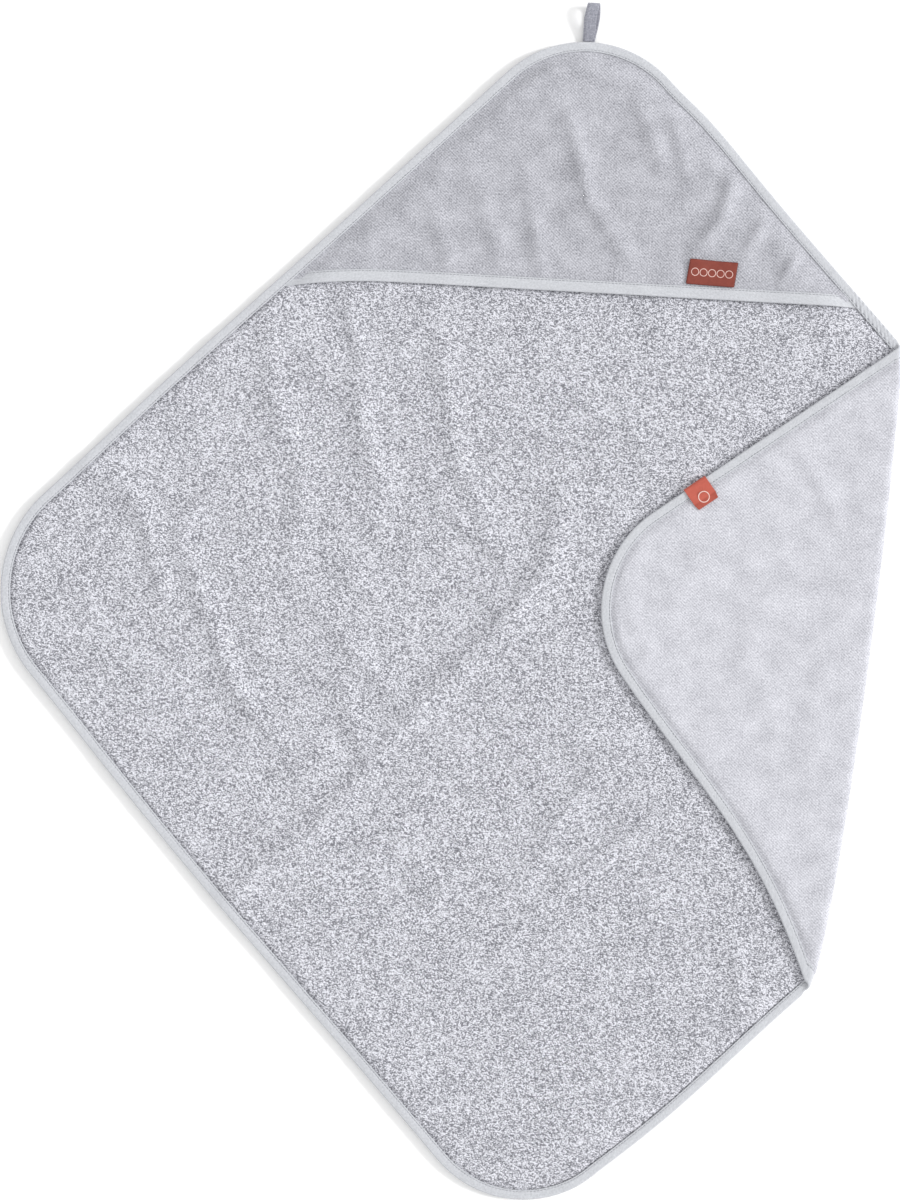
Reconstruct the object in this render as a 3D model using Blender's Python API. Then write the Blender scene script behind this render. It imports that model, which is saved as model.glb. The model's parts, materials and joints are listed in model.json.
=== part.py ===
"""Hooded baby towel, lying flat on its smooth back with its right corner folded over.

The cloth lies in the XY plane, +Y from the bottom corner to the hood's apex and +Z up, in metres.
Everything is laid out about the middle of the cut square and then moved so that the origin is the
bottom centre of the whole towel.
"""

import math
from dataclasses import dataclass

import bmesh
import bpy
from mathutils import Matrix, Vector


def plane(x, y):
    """A point or a direction in the XY plane."""
    return Vector((x, y))


# Driving dimensions ---------------------------------------------------------------------------
CUT_SIDE = 0.750  # side of the square of terry cloth
APEX_PULL = plane(0.002, 0.0135)  # how far each laid corner is from its place on a true square
LEFT_PULL = plane(0.010, 0.013)
BOTTOM_PULL = plane(-0.010, -0.0015)
RIGHT_PULL = plane(0.007, -0.0045)
APEX_RADIUS = 0.098
LEFT_RADIUS = 0.112
BOTTOM_RADIUS = 0.096
FLAP_RADIUS = 0.100
UPPER_RIGHT_BOW = (0.0029, 0.79, 2)  # how far a side bows out, where most, and how gently it starts
UPPER_LEFT_BOW = (0.0017, 0.70, 2)
LOWER_LEFT_BOW = (0.0037, 0.40, 2)
LOWER_RIGHT_BOW = (0.0034, 0.35, 2)
FLAP_UPPER_BOW = (0.0, 0.5, 2)
FLAP_LOWER_BOW = (-0.0150, 0.60, 1)

CLOTH = 0.0040  # terry cloth with its loops
LIP = 0.0010  # the same cloth pressed flat inside a binding
HOOD_CLOTH = 0.0025
HOOD_LIP = 0.0009
BINDING_WIDTH = 0.0084
HEM_WIDTH = 0.0104
TAPE = 0.0005  # wall of both binding tapes
CLEAR = 0.0003  # gap between pieces that touch
BINDING_PROUD = 0.0001  # how far the edge binding stands above the cloth
THREAD_WIDTH = 0.0004
THREAD_THICK = 0.0003
THREAD_INSET = 0.0014  # from a binding's inner edge to its seam

HOOD_HEM_HEIGHT = 0.2870  # lower edge of the hood, above the square's middle
HEM_DROOP = 0.0105  # how far the hem sinks at its left end
HEM_DROOP_START = -0.150
HOOD_SIDE_CLEAR = 0.0010  # from the edge binding to the hood's sides

FOLD_BELOW_HEM = 0.0414  # down the upper right side, from the hood's hem to the fold
FOLD_LOWER_LEG = 0.424  # up the lower right side, from the fold to the corner
FLAP_UPPER_TAKE = 0.0145  # how much of the corner's two edges the fold and the drape take up
FLAP_LOWER_TAKE = 0.0098
FOLD_ROUND = 0.0043  # how far the fold's round back stands out from its straight line
FOLD_BOW = 0.0117  # how much further it bows out, most of all in its lower half
FOLD_BOW_SKEW = 0.75
FOLD_BOW_FULLNESS = 0.6
FOLD_SETBACK = 0.0010  # from the fold's straight line to the cloth on either side
FOLD_GAP = 0.0026  # from the lying cloth up to the cloth that is folded over it
FOLD_HINGE_OUT = 0.0080  # from that straight line out to the one that the corner turns about
FOLD_LIFT = 0.0001  # underside of the fold's round back above the table

LOOP_WIDTH = 0.0104
LOOP_LENGTH = 0.0335  # from the binding's edge to the loop's tip
LOOP_GAP = 0.0075  # clear height inside the loop
LOOP_TAPE = 0.0005
LOOP_PRESSED = 0.0006  # from one layer of tape to the other at the root
HOOK_FACET = math.radians(7.5)  # half of the flat at the loop's tip, where it bears on a hook
LOOP_ROOT = 0.0009  # from the binding's edge to the loop's hinge line
LOOP_TAIL = 0.0056  # tape ends under the binding
LOOP_TAIL_END = 0.0001  # how far they stand out of it
LOOP_HEIGHT = 0.0008  # the loop's hinge line above the table

LABEL_WIDTH = 0.0414
LABEL_HEIGHT = 0.0214
LABEL_THICK = 0.0012
LABEL_RIGHT_OF_MIDDLE = 0.1145  # the label's middle on the hem
LABEL_TILT = math.radians(-1.5)
LABEL_LEAN = 0.0018  # how far its top edge stands to the right of its lower edge

TAB_WIDTH = 0.0216
TAB_DEPTH = 0.0201  # from the flap's edge inwards
TAB_THICK = 0.0010
TAB_FROM_TIP = 0.1380  # from the flap's sharp corner to the tab's middle, along the upper edge

ARC_STEPS = 12
RUN_STEPS = 6
HEM_STEPS = 14
FOLD_STEPS = 16

# Sizes that follow from them ------------------------------------------------------------------
HALF_DIAGONAL = CUT_SIDE / math.sqrt(2.0)
FOLD_HEIGHT = CLOTH + FOLD_GAP / 2  # the middle between the two layers of cloth
BINDING_THICK = LIP + 2 * (TAPE + CLEAR)
BINDING_TOP = CLOTH + BINDING_PROUD
BINDING_LIFT = BINDING_TOP - BINDING_THICK  # its underside above the table
HOOD_BOTTOM = CLOTH + 2 * CLEAR + THREAD_THICK
HOOD_TOP = HOOD_BOTTOM + HOOD_CLOTH
HEM_THICK = HOOD_LIP + 2 * (TAPE + CLEAR)
HOOD_INSET = BINDING_WIDTH + HOOD_SIDE_CLEAR
LIP_REACH = 0.0011  # from a binding's outer edge to the pressed cloth inside it
STEP = 0.0003  # keeps two rings of a slab from lying on the same line


APEX = plane(0.0, HALF_DIAGONAL) + APEX_PULL
LEFT = plane(-HALF_DIAGONAL, 0.0) + LEFT_PULL
BOTTOM = plane(0.0, -HALF_DIAGONAL) + BOTTOM_PULL
RIGHT = plane(HALF_DIAGONAL, 0.0) + RIGHT_PULL
UP_RIGHT_SIDE = (APEX - RIGHT).normalized()
FOLD_UPPER_LEG = (HOOD_HEM_HEIGHT - RIGHT.y) / UP_RIGHT_SIDE.y - FOLD_BELOW_HEM
FLAP_UPPER_LEG = FOLD_UPPER_LEG - FLAP_UPPER_TAKE
FLAP_LOWER_LEG = FOLD_LOWER_LEG - FLAP_LOWER_TAKE
FOLD_TOP = RIGHT + UP_RIGHT_SIDE * FOLD_UPPER_LEG
FOLD_FOOT = RIGHT + (BOTTOM - RIGHT).normalized() * FOLD_LOWER_LEG
ALONG_FOLD = (FOLD_TOP - FOLD_FOOT).normalized()
OUT_OF_FOLD = plane(ALONG_FOLD.y, -ALONG_FOLD.x)
LINE_FOOT = FOLD_FOOT - OUT_OF_FOLD * FOLD_ROUND


def flap_tip():
    """The laid flap's sharp corner: both of its edges have the lengths given above."""
    across = (FOLD_TOP - FOLD_FOOT).length
    up = (FLAP_LOWER_LEG**2 - FLAP_UPPER_LEG**2 + across**2) / (2 * across)
    inwards = math.sqrt(FLAP_LOWER_LEG**2 - up**2)
    return FOLD_FOOT + ALONG_FOLD * up - OUT_OF_FOLD * inwards


# Lines and outlines ---------------------------------------------------------------------------
@dataclass
class Side:
    """One side of an outline: its line, how it bows out and between which lengths it is free."""

    start: Vector
    end: Vector
    bow: tuple
    free_start: float
    free_end: float

    @property
    def run(self):
        return (self.end - self.start).normalized()

    @property
    def inwards(self):
        return plane(-self.run.y, self.run.x)

    def bowed(self, point):
        """The point, moved out as far as the side bows there."""
        size, peak, ease = self.bow
        reach = (point - self.start).dot(self.run) - self.free_start
        free = (self.end - self.start).length - self.free_start - self.free_end
        share = min(max(reach / free, 0.0), 1.0)
        swell = abs(math.sin(math.pi * share ** (math.log(0.5) / math.log(peak)))) ** ease
        return point - self.inwards * (size * swell)


def sides_of(corners, radii, bows, first_free, last_free):
    """The sides between the corners. Each is free to bow between the round corners it meets."""
    lines = list(zip(corners, corners[1:]))
    tangents = [first_free]
    for (a, b), (_, c), radius in zip(lines, lines[1:], radii):
        turn = abs((b - a).angle_signed(c - b))
        tangents.append(radius * math.tan(turn / 2))
    tangents.append(last_free)
    pairs = zip(lines, bows, tangents, tangents[1:])
    return [Side(a, b, bow, low, high) for (a, b), bow, low, high in pairs]


def meet(p, d, q, e):
    """Where the line through p along d crosses the line through q along e."""
    gap = q - p
    return p + d * ((gap.x * e.y - gap.y * e.x) / (d.x * e.y - d.y * e.x))


def fold_cut(setback):
    """Cuts a line where it meets the fold's straight line, moved inwards by setback."""

    def cut(p, d):
        return meet(p, d, LINE_FOOT - OUT_OF_FOLD * setback, ALONG_FOLD)

    return cut


def hem_height(x):
    """The hood's lower edge: straight, and sinking in a curve towards its left end."""
    run = HEM_DROOP_START - LEFT.x / 2
    past = max(0.0, HEM_DROOP_START - x)
    return HOOD_HEM_HEIGHT - HEM_DROOP * (past / run) ** 2


def hem_cut(lift):
    """Cuts a line where it meets the hem's lower edge, moved up by lift."""

    def cut(p, d):
        point = p.copy()
        for _ in range(12):
            point = point - d * ((point.y - hem_height(point.x) - lift) / d.y)
        return point

    return cut


def rounded_path(sides, radii, inset, start_cut, end_cut):
    """The line along the sides, each corner turned to the left and rounded, moved in by inset."""
    feet = [side.start + side.inwards * inset for side in sides]
    arcs = []
    for i, radius in enumerate(radii):
        run, inwards = sides[i].run, sides[i].inwards
        turn = abs(run.angle_signed(sides[i + 1].run))
        corner = meet(feet[i], run, feet[i + 1], sides[i + 1].run)
        r = radius - inset
        centre = corner - run * (r * math.tan(turn / 2)) + inwards * r
        angles = [turn * k / ARC_STEPS for k in range(ARC_STEPS + 1)]
        arcs.append([centre + (run * math.sin(a) - inwards * math.cos(a)) * r for a in angles])
    starts = [cut_side(sides[0], feet[0], start_cut)] + [arc[-1] for arc in arcs]
    ends = [arc[0] for arc in arcs] + [cut_side(sides[-1], feet[-1], end_cut)]
    points = [starts[0]]
    for i, side in enumerate(sides):
        for k in range(1, RUN_STEPS):
            points.append(side.bowed(starts[i].lerp(ends[i], k / RUN_STEPS)))
        points += arcs[i] if i < len(arcs) else [ends[i]]
    return points


def cut_side(side, foot, cut):
    """Where a side that starts at foot, bowed as it is there, meets the cut."""
    bare = cut(foot, side.run)
    return cut(side.bowed(bare), side.run)


TOWEL_RADII = [APEX_RADIUS, LEFT_RADIUS, BOTTOM_RADIUS]
TOWEL_SIDES = sides_of(
    [RIGHT, APEX, LEFT, BOTTOM, RIGHT],
    TOWEL_RADII,
    [UPPER_RIGHT_BOW, UPPER_LEFT_BOW, LOWER_LEFT_BOW, LOWER_RIGHT_BOW],
    FOLD_UPPER_LEG,
    FOLD_LOWER_LEG,
)
FLAP_SIDES = sides_of(
    [FOLD_TOP, flap_tip(), FOLD_FOOT],
    [FLAP_RADIUS],
    [FLAP_UPPER_BOW, FLAP_LOWER_BOW],
    0.0,
    0.0,
)


def towel_path(inset, setback=FOLD_SETBACK):
    """The towel's edge from the top of the fold round to its foot."""
    cut = fold_cut(setback)
    return rounded_path(TOWEL_SIDES, TOWEL_RADII, inset, cut, cut)


def flap_path(inset, setback=FOLD_SETBACK):
    """The laid flap's edge from the top of the fold round to its foot."""
    cut = fold_cut(setback)
    return rounded_path(FLAP_SIDES, [FLAP_RADIUS], inset, cut, cut)


def hood_path(inset, lift):
    """The hood's sewn sides from the hem's right end over the apex to its left end."""
    cut = hem_cut(lift)
    return rounded_path(TOWEL_SIDES[:2], [APEX_RADIUS], inset, cut, cut)


def hem_path(lift, side_inset=HOOD_INSET):
    """The hood's lower edge from left to right, moved up by lift."""
    sides = hood_path(side_inset, lift)
    left, right = sides[-1], sides[0]
    points = [left]
    for k in range(1, HEM_STEPS):
        x = left.x + (right.x - left.x) * k / HEM_STEPS
        points.append(plane(x, hem_height(x) + lift))
    points.append(right)
    return points


def lift_flap(z):
    """The height that a level of the lying cloth has once it is folded over."""
    return 2 * FOLD_HEIGHT - z


# Solids ---------------------------------------------------------------------------------------
def loft(rings, close_profile):
    """A closed solid through rings of equal length.

    With close_profile the rings run along the piece's length, the last joins the first, and the
    two ends are capped. Without it each ring is a closed outline, and the first and last are capped.
    """
    mesh = bmesh.new()
    rows = [[mesh.verts.new(p) for p in ring] for ring in rings]
    pairs = list(zip(rows, rows[1:]))
    if close_profile:
        pairs.append((rows[-1], rows[0]))
    for low, high in pairs:
        for k in range(len(low) - (1 if close_profile else 0)):
            n = (k + 1) % len(low)
            mesh.faces.new((low[k], low[n], high[n], high[k]))
    if close_profile:
        mesh.faces.new([row[0] for row in rows])
        mesh.faces.new([row[-1] for row in reversed(rows)])
    else:
        mesh.faces.new(list(reversed(rows[0])))
        mesh.faces.new(rows[-1])
    bmesh.ops.recalc_face_normals(mesh, faces=mesh.faces)
    return mesh


def strip(path_at, profile):
    """A solid of this profile, (inset, height) pairs, run along a path."""
    rings = [[(p.x, p.y, z) for p in path_at(inset)] for inset, z in profile]
    return loft(rings, True)


def slab(outline_at, levels):
    """A solid whose outline at each level is outline_at(level's first value)."""
    return loft([[(p.x, p.y, z) for p in outline_at(key)] for key, z in levels], False)


def u_profile(width, low, high, wall):
    """A folded tape round an edge, open towards the cloth, with its outer corners eased."""
    ease = wall
    return [
        (ease, low),
        (width, low),
        (width, low + wall),
        (wall, low + wall),
        (wall, high - wall),
        (width, high - wall),
        (width, high),
        (ease, high),
        (0.0, high - ease),
        (0.0, low + ease),
    ]


def thread_profile(inset, low):
    """A seam's thread, laid flat, with its middle at inset."""
    near, far = inset - THREAD_WIDTH / 2, inset + THREAD_WIDTH / 2
    return [(near, low), (far, low), (far, low + THREAD_THICK), (near, low + THREAD_THICK)]


def turned_levels(levels):
    """The same levels on the folded-over side."""
    return [(key, lift_flap(z)) for key, z in levels]


def bent_strip(start, end, outer, inner, depth_at, wall):
    """A band bent round the fold's straight line, from start to end along it.

    outer and inner are its half-heights about that line, depth_at gives how far it stands out.
    """
    rings = [[] for _ in range(2 * (ARC_STEPS + 3))]
    for step in range(FOLD_STEPS + 1):
        share = step / FOLD_STEPS
        along = start + (end - start) * share
        depth = depth_at(share)
        section = [(-FOLD_SETBACK + CLEAR, -outer)]
        for k in range(ARC_STEPS + 1):
            angle = math.pi * (k / ARC_STEPS - 0.5)
            section.append((depth * math.cos(angle), outer * math.sin(angle)))
        section.append((-FOLD_SETBACK + CLEAR, outer))
        section.append((-FOLD_SETBACK + CLEAR, inner))
        for k in range(ARC_STEPS + 1):
            angle = math.pi * (0.5 - k / ARC_STEPS)
            section.append(((depth - wall) * math.cos(angle), inner * math.sin(angle)))
        section.append((-FOLD_SETBACK + CLEAR, -inner))
        for ring, (out, up) in zip(rings, section):
            p = LINE_FOOT + ALONG_FOLD * along + OUT_OF_FOLD * out
            ring.append((p.x, p.y, FOLD_HEIGHT + up))
    return loft(rings, True)


def along_fold(p):
    """How far along the fold's straight line a point lies."""
    return (p - LINE_FOOT).dot(ALONG_FOLD)


# Objects --------------------------------------------------------------------------------------
def make_material(name, colour, roughness):
    """A Principled material of one colour."""
    material = bpy.data.materials.new(name)
    material.use_nodes = True
    shader = material.node_tree.nodes["Principled BSDF"]
    shader.inputs["Base Color"].default_value = (*colour, 1.0)
    shader.inputs["Roughness"].default_value = roughness
    shader.inputs["Metallic"].default_value = 0.0
    return material


def make_empty(name, at, parent=None):
    """An empty at a point of the layout, on a joint's axis."""
    empty = bpy.data.objects.new(name, None)
    empty["at"] = at
    empty.location = at - (Vector(parent["at"]) if parent else Vector((0, 0, 0)))
    empty.parent = parent
    bpy.context.scene.collection.objects.link(empty)
    return empty


def make_object(name, mesh, material, parent):
    """An object from a finished bmesh, kept in place under its parent empty."""
    data = bpy.data.meshes.new(name)
    mesh.to_mesh(data)
    mesh.free()
    data.transform(Matrix.Translation(-Vector(parent["at"])))
    data.materials.append(material)
    obj = bpy.data.objects.new(name, data)
    obj.parent = parent
    bpy.context.scene.collection.objects.link(obj)
    return obj


def cloth_levels():
    """The terry cloth's outline, (inset and setback, height), pressed thin inside its binding."""
    body = (BINDING_WIDTH + CLEAR, FOLD_SETBACK)
    lip = (LIP_REACH, FOLD_SETBACK + STEP)
    low = BINDING_LIFT + TAPE + CLEAR
    return [
        (body, 0.0),
        (body, low),
        (lip, low),
        (lip, low + LIP),
        (body, low + LIP),
        (body, CLOTH),
    ]


def make_towel(root, cloth, tape, thread):
    """The terry cloth, its binding and the seam's two threads."""
    seam = BINDING_WIDTH - THREAD_INSET
    binding = u_profile(BINDING_WIDTH, BINDING_LIFT, BINDING_TOP, TAPE)
    panel = slab(lambda key: towel_path(*key), cloth_levels())
    make_object("towel_panel", panel, cloth, root)
    make_object("edge_binding", strip(towel_path, binding), tape, root)
    top = thread_profile(seam, BINDING_TOP + CLEAR)
    make_object("edge_needle_thread", strip(towel_path, top), thread, root)
    back = thread_profile(seam, BINDING_LIFT - CLEAR - THREAD_THICK)
    make_object("edge_bobbin_thread", strip(towel_path, back), thread, root)


def make_fold(root, cloth, tape):
    """The rounded back of the folded corner and the binding round both of its ends."""
    tape_outer = FOLD_HEIGHT - BINDING_LIFT
    tape_inner = FOLD_HEIGHT - BINDING_TOP

    def bowed(share):
        swell = math.sin(math.pi * share**FOLD_BOW_SKEW) ** FOLD_BOW_FULLNESS
        return FOLD_ROUND + FOLD_BOW * swell

    def plain(share):
        return tape_outer

    seam = towel_path(BINDING_WIDTH + CLEAR)
    start, end = along_fold(seam[-1]), along_fold(seam[0])
    outer, inner = FOLD_HEIGHT - FOLD_LIFT, FOLD_HEIGHT - CLOTH
    back = bent_strip(start, end, outer, inner, bowed, FOLD_ROUND - CLEAR)
    make_object("corner_fold", back, cloth, root)
    edge, seam = towel_path(0.0), towel_path(BINDING_WIDTH)
    for name, k in (("fold_binding_upper", 0), ("fold_binding_lower", -1)):
        low, high = sorted((along_fold(edge[k]), along_fold(seam[k])))
        band = bent_strip(low, high, tape_outer, tape_inner, plain, tape_outer - tape_inner)
        make_object(name, band, tape, root)


def make_flap(hinge, cloth, tape, thread, leather):
    """The corner that is folded over: its cloth, binding, threads and the leather tab."""
    seam = BINDING_WIDTH - THREAD_INSET
    panel = slab(lambda key: flap_path(*key), turned_levels(cloth_levels()))
    make_object("corner_flap", panel, cloth, hinge)
    profile = turned_levels(u_profile(BINDING_WIDTH, BINDING_LIFT, BINDING_TOP, TAPE))
    make_object("flap_binding", strip(flap_path, profile), tape, hinge)
    under = thread_profile(seam, BINDING_TOP + CLEAR)
    make_object("flap_needle_thread", strip(flap_path, turned_levels(under)), thread, hinge)
    over = thread_profile(seam, BINDING_LIFT - CLEAR - THREAD_THICK)
    make_object("flap_bobbin_thread", strip(flap_path, turned_levels(over)), thread, hinge)
    make_object("edge_tab", tab_solid(), leather, hinge)


def tab_solid():
    """A leather strip folded round the flap's upper edge, clear of the seam's thread."""
    tip = flap_tip()
    run = (tip - FOLD_TOP).normalized()
    inwards = plane(-run.y, run.x)
    middle = tip - run * TAB_FROM_TIP
    low = lift_flap(BINDING_TOP + 2 * CLEAR + THREAD_THICK) - TAB_THICK
    high = lift_flap(0.0) + CLEAR + TAB_THICK
    profile = u_profile(TAB_DEPTH + CLEAR + TAB_THICK, low, high, TAB_THICK)

    def edge(inset):
        start = middle + inwards * (inset - CLEAR - TAB_THICK)
        return [start - run * (TAB_WIDTH / 2), start + run * (TAB_WIDTH / 2)]

    return strip(edge, profile)


def make_hood(hinge, cloth, tape, thread):
    """The hood's cloth, the binding along its free edge and that seam's two threads."""
    lip_low = HOOD_BOTTOM + TAPE + CLEAR
    body = (HOOD_INSET, HEM_WIDTH + CLEAR)
    lip = (HOOD_INSET + STEP, LIP_REACH)
    levels = [
        (body, HOOD_BOTTOM),
        (body, lip_low),
        (lip, lip_low),
        (lip, lip_low + HOOD_LIP),
        (body, lip_low + HOOD_LIP),
        (body, HOOD_TOP),
    ]

    def outline(key):
        inset, lift = key
        return hood_path(inset, lift)[:-1] + hem_path(lift, inset)[:-1]

    make_object("hood_panel", slab(outline, levels), cloth, hinge)
    top = HOOD_BOTTOM + HEM_THICK
    binding = u_profile(HEM_WIDTH, HOOD_BOTTOM, top, TAPE)
    make_object("hood_hem_binding", strip(hem_path, binding), tape, hinge)
    seam = HEM_WIDTH - THREAD_INSET
    needle = strip(hem_path, thread_profile(seam, top + CLEAR))
    make_object("hem_needle_thread", needle, thread, hinge)
    bobbin = strip(hem_path, thread_profile(seam, HOOD_BOTTOM - CLEAR - THREAD_THICK))
    make_object("hem_bobbin_thread", bobbin, thread, hinge)


def label_foot():
    """The middle of the label's lower edge, just above the hem binding."""
    height = hem_height(LABEL_RIGHT_OF_MIDDLE) + HEM_WIDTH + 2 * CLEAR
    sink = abs(math.sin(LABEL_TILT)) * LABEL_WIDTH / 2
    return plane(LABEL_RIGHT_OF_MIDDLE, height + sink)


def make_label(hinge, leather):
    """A small leather label, caught under the hem binding's upper edge."""
    foot = label_foot()
    along = plane(math.cos(LABEL_TILT), math.sin(LABEL_TILT))
    up = plane(-along.y, along.x) * LABEL_HEIGHT + along * LABEL_LEAN
    corners = [
        foot - along * (LABEL_WIDTH / 2),
        foot + along * (LABEL_WIDTH / 2),
        foot + along * (LABEL_WIDTH / 2) + up,
        foot - along * (LABEL_WIDTH / 2) + up,
    ]
    low = HOOD_TOP + CLEAR
    mesh = slab(lambda key: corners, [(0, low), (0, low + LABEL_THICK)])
    make_object("hood_label", mesh, leather, hinge)


def apex_edge():
    """The outermost point of the towel's edge at the hood's apex."""
    return max(towel_path(0.0), key=lambda p: p.y).y


def loop_side(offset):
    """One face of the loop's tape seen from the side, this far from its middle line.

    It runs from the root along the underside, round the tip and back down the upper side.
    """
    reach = LOOP_GAP / 2 + LOOP_TAPE / 2
    tip = LOOP_LENGTH - LOOP_ROOT - reach - LOOP_TAPE / 2
    floor = -LOOP_PRESSED / 2
    roof = LOOP_PRESSED / 2
    spread = math.pi - math.atan2(2 * reach - LOOP_PRESSED, tip)
    r = reach + offset
    shares = [k / (ARC_STEPS // 2 - 1) for k in range(ARC_STEPS // 2)]
    lower = [-math.pi / 2 + (math.pi / 2 - HOOK_FACET) * share for share in shares]
    upper = [HOOK_FACET + (spread - math.pi / 2 - HOOK_FACET) * share for share in shares]
    side = [(0.0, floor - offset)]
    for angle in lower + upper:
        side.append((tip + r * math.cos(angle), floor + reach + r * math.sin(angle)))
    side.append((0.0, roof + offset))
    return side


def across_band(profile, left, right, at_y, at_z):
    """A profile in the YZ plane, run from left to right along X."""
    rings = [[(x, at_y + y, at_z + z) for x in (left, right)] for y, z in profile]
    return loft(rings, True)


def make_loop(root, hinge, tape, thread):
    """The hanging loop: a folded tape, its ends under the binding and the thread along its edge."""
    edge = apex_edge()
    half = LOOP_WIDTH / 2
    low = -(LOOP_PRESSED + LOOP_TAPE) / 2
    high = BINDING_LIFT - CLEAR - LOOP_HEIGHT
    tail = [(-LOOP_TAIL, low), (LOOP_TAIL_END, low), (LOOP_TAIL_END, high), (-LOOP_TAIL, high)]
    make_object("loop_tail", across_band(tail, -half, half, edge, LOOP_HEIGHT), tape, root)
    at = edge + LOOP_ROOT
    band = loop_side(-LOOP_TAPE / 2) + loop_side(LOOP_TAPE / 2)[::-1]
    make_object("hanging_loop", across_band(band, -half, half, at, LOOP_HEIGHT), tape, hinge)
    seam = LOOP_TAPE / 2 + CLEAR
    row = loop_side(seam)[-2:] + loop_side(seam + THREAD_THICK)[:-3:-1]
    left = -half + THREAD_INSET
    stitches = across_band(row, left, left + THREAD_WIDTH, at, LOOP_HEIGHT)
    make_object("loop_thread", stitches, thread, hinge)


def centre_on_origin(root):
    """Moves the layout so that the origin is the bottom centre of the whole towel."""
    bpy.context.view_layer.update()
    corners = []
    for obj in bpy.data.objects:
        if obj.type == "MESH":
            corners += [obj.matrix_world @ v.co for v in obj.data.vertices]
    low = [min(p[k] for p in corners) for k in range(3)]
    high = [max(p[k] for p in corners) for k in range(3)]
    root.location = (-(low[0] + high[0]) / 2, -(low[1] + high[1]) / 2, -low[2])


def main():
    for obj in list(bpy.data.objects):
        bpy.data.objects.remove(obj)
    terry = make_material("terry_cloth", (0.540, 0.545, 0.595), 0.95)
    back = make_material("smooth_back", (0.655, 0.660, 0.715), 0.85)
    tape = make_material("binding_tape", (0.600, 0.615, 0.650), 0.75)
    grey = make_material("loop_tape", (0.320, 0.325, 0.370), 0.80)
    thread = make_material("sewing_thread", (0.420, 0.430, 0.470), 0.60)
    brown = make_material("label_leather", (0.270, 0.052, 0.036), 0.50)
    rust = make_material("tab_leather", (0.530, 0.120, 0.085), 0.50)

    root = make_empty("towel_frame", Vector((0, 0, 0)))
    fold_middle = LINE_FOOT + ALONG_FOLD * ((FOLD_TOP - FOLD_FOOT).length / 2)
    fold_middle += OUT_OF_FOLD * FOLD_HINGE_OUT
    corner_hinge = make_empty("corner_hinge", Vector((*fold_middle, FOLD_HEIGHT)), root)
    hood_apex = max(hood_path(HOOD_INSET, 0.0), key=lambda p: p.y)
    hood_hinge = make_empty("hood_hinge", Vector((0, hood_apex.y, HOOD_TOP)), root)
    label_top = HOOD_TOP + CLEAR + LABEL_THICK
    label_hinge = make_empty("label_hinge", Vector((*label_foot(), label_top)), hood_hinge)
    loop_hinge = make_empty("loop_hinge", Vector((0, apex_edge() + LOOP_ROOT, LOOP_HEIGHT)), root)

    make_towel(root, terry, tape, thread)
    make_fold(root, back, tape)
    make_flap(corner_hinge, back, tape, thread, rust)
    make_hood(hood_hinge, back, tape, thread)
    make_label(label_hinge, brown)
    make_loop(root, loop_hinge, grey, thread)
    centre_on_origin(root)


main()
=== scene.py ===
"""Looks of the hooded baby towel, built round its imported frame.

Every cloth is laid out flat, in the towel's own pattern, and then placed by a lay: lying on the table,
bent round the folded corner, or sewn on as the hood. The pattern's middle is the middle of the cut
square, +Y points to the hood's apex, and all sizes are in metres.
"""

import json
import logging
import math
from dataclasses import dataclass, field
from enum import Enum
from functools import partial
from typing import Callable, Sequence

import bpy
import numpy as np
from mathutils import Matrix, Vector
from mathutils.geometry import delaunay_2d_cdt

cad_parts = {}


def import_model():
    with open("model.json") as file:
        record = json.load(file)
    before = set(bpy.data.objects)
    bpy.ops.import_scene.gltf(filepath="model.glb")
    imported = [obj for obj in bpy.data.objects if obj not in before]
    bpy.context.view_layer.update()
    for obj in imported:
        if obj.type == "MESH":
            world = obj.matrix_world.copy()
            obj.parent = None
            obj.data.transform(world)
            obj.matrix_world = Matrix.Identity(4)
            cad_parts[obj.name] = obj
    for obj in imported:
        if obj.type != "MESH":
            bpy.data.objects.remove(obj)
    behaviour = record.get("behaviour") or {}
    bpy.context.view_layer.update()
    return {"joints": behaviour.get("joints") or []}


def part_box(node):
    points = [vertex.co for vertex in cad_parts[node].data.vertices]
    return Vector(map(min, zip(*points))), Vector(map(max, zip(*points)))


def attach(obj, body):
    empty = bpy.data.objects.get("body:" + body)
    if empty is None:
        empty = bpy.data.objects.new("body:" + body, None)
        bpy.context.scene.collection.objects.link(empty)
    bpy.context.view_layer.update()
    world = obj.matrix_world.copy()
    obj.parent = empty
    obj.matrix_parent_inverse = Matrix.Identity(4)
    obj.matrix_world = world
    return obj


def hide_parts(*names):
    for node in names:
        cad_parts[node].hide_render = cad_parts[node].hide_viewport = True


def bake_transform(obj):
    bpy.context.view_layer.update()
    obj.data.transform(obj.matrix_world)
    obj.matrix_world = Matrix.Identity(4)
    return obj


LOG = logging.getLogger("towel")
Array = np.ndarray
Cut = Callable[[Array, Array, float], Array]
Lift = Callable[[Array, Array, float], Array]
Profile = Sequence[tuple[float, float]]
Colour = tuple[float, float, float]
Piece = bpy.types.Object
Material = bpy.types.Material
Tree = bpy.types.NodeTree
Node = bpy.types.Node
Socket = bpy.types.NodeSocket
Value = float | tuple[float, ...] | Socket
Groups = dict[str, Tree]

CLOTH = 0.0040
HOOD_CLOTH = 0.0025
HOOD_BOTTOM = 0.0049
BINDING_WIDTH = 0.0084
BINDING_LOW = 0.0015
BINDING_HIGH = 0.0041
HEM_WIDTH = 0.0104
TAPE = 0.0005
THREAD_INSET = 0.0014
CLEAR = 0.0003
FLAT_MAP = "flat"


# Small helpers
def xy(x: float, y: float) -> Array:
    """A point or a direction of the pattern."""
    return np.array([x, y], float)


def unit(vector: Array) -> Array:
    """The vector at length one."""
    return vector / np.linalg.norm(vector)


def cross(a: Array, b: Array) -> float:
    """The turn from a to b, as their cross product."""
    return float(a[0] * b[1] - a[1] * b[0])


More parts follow.
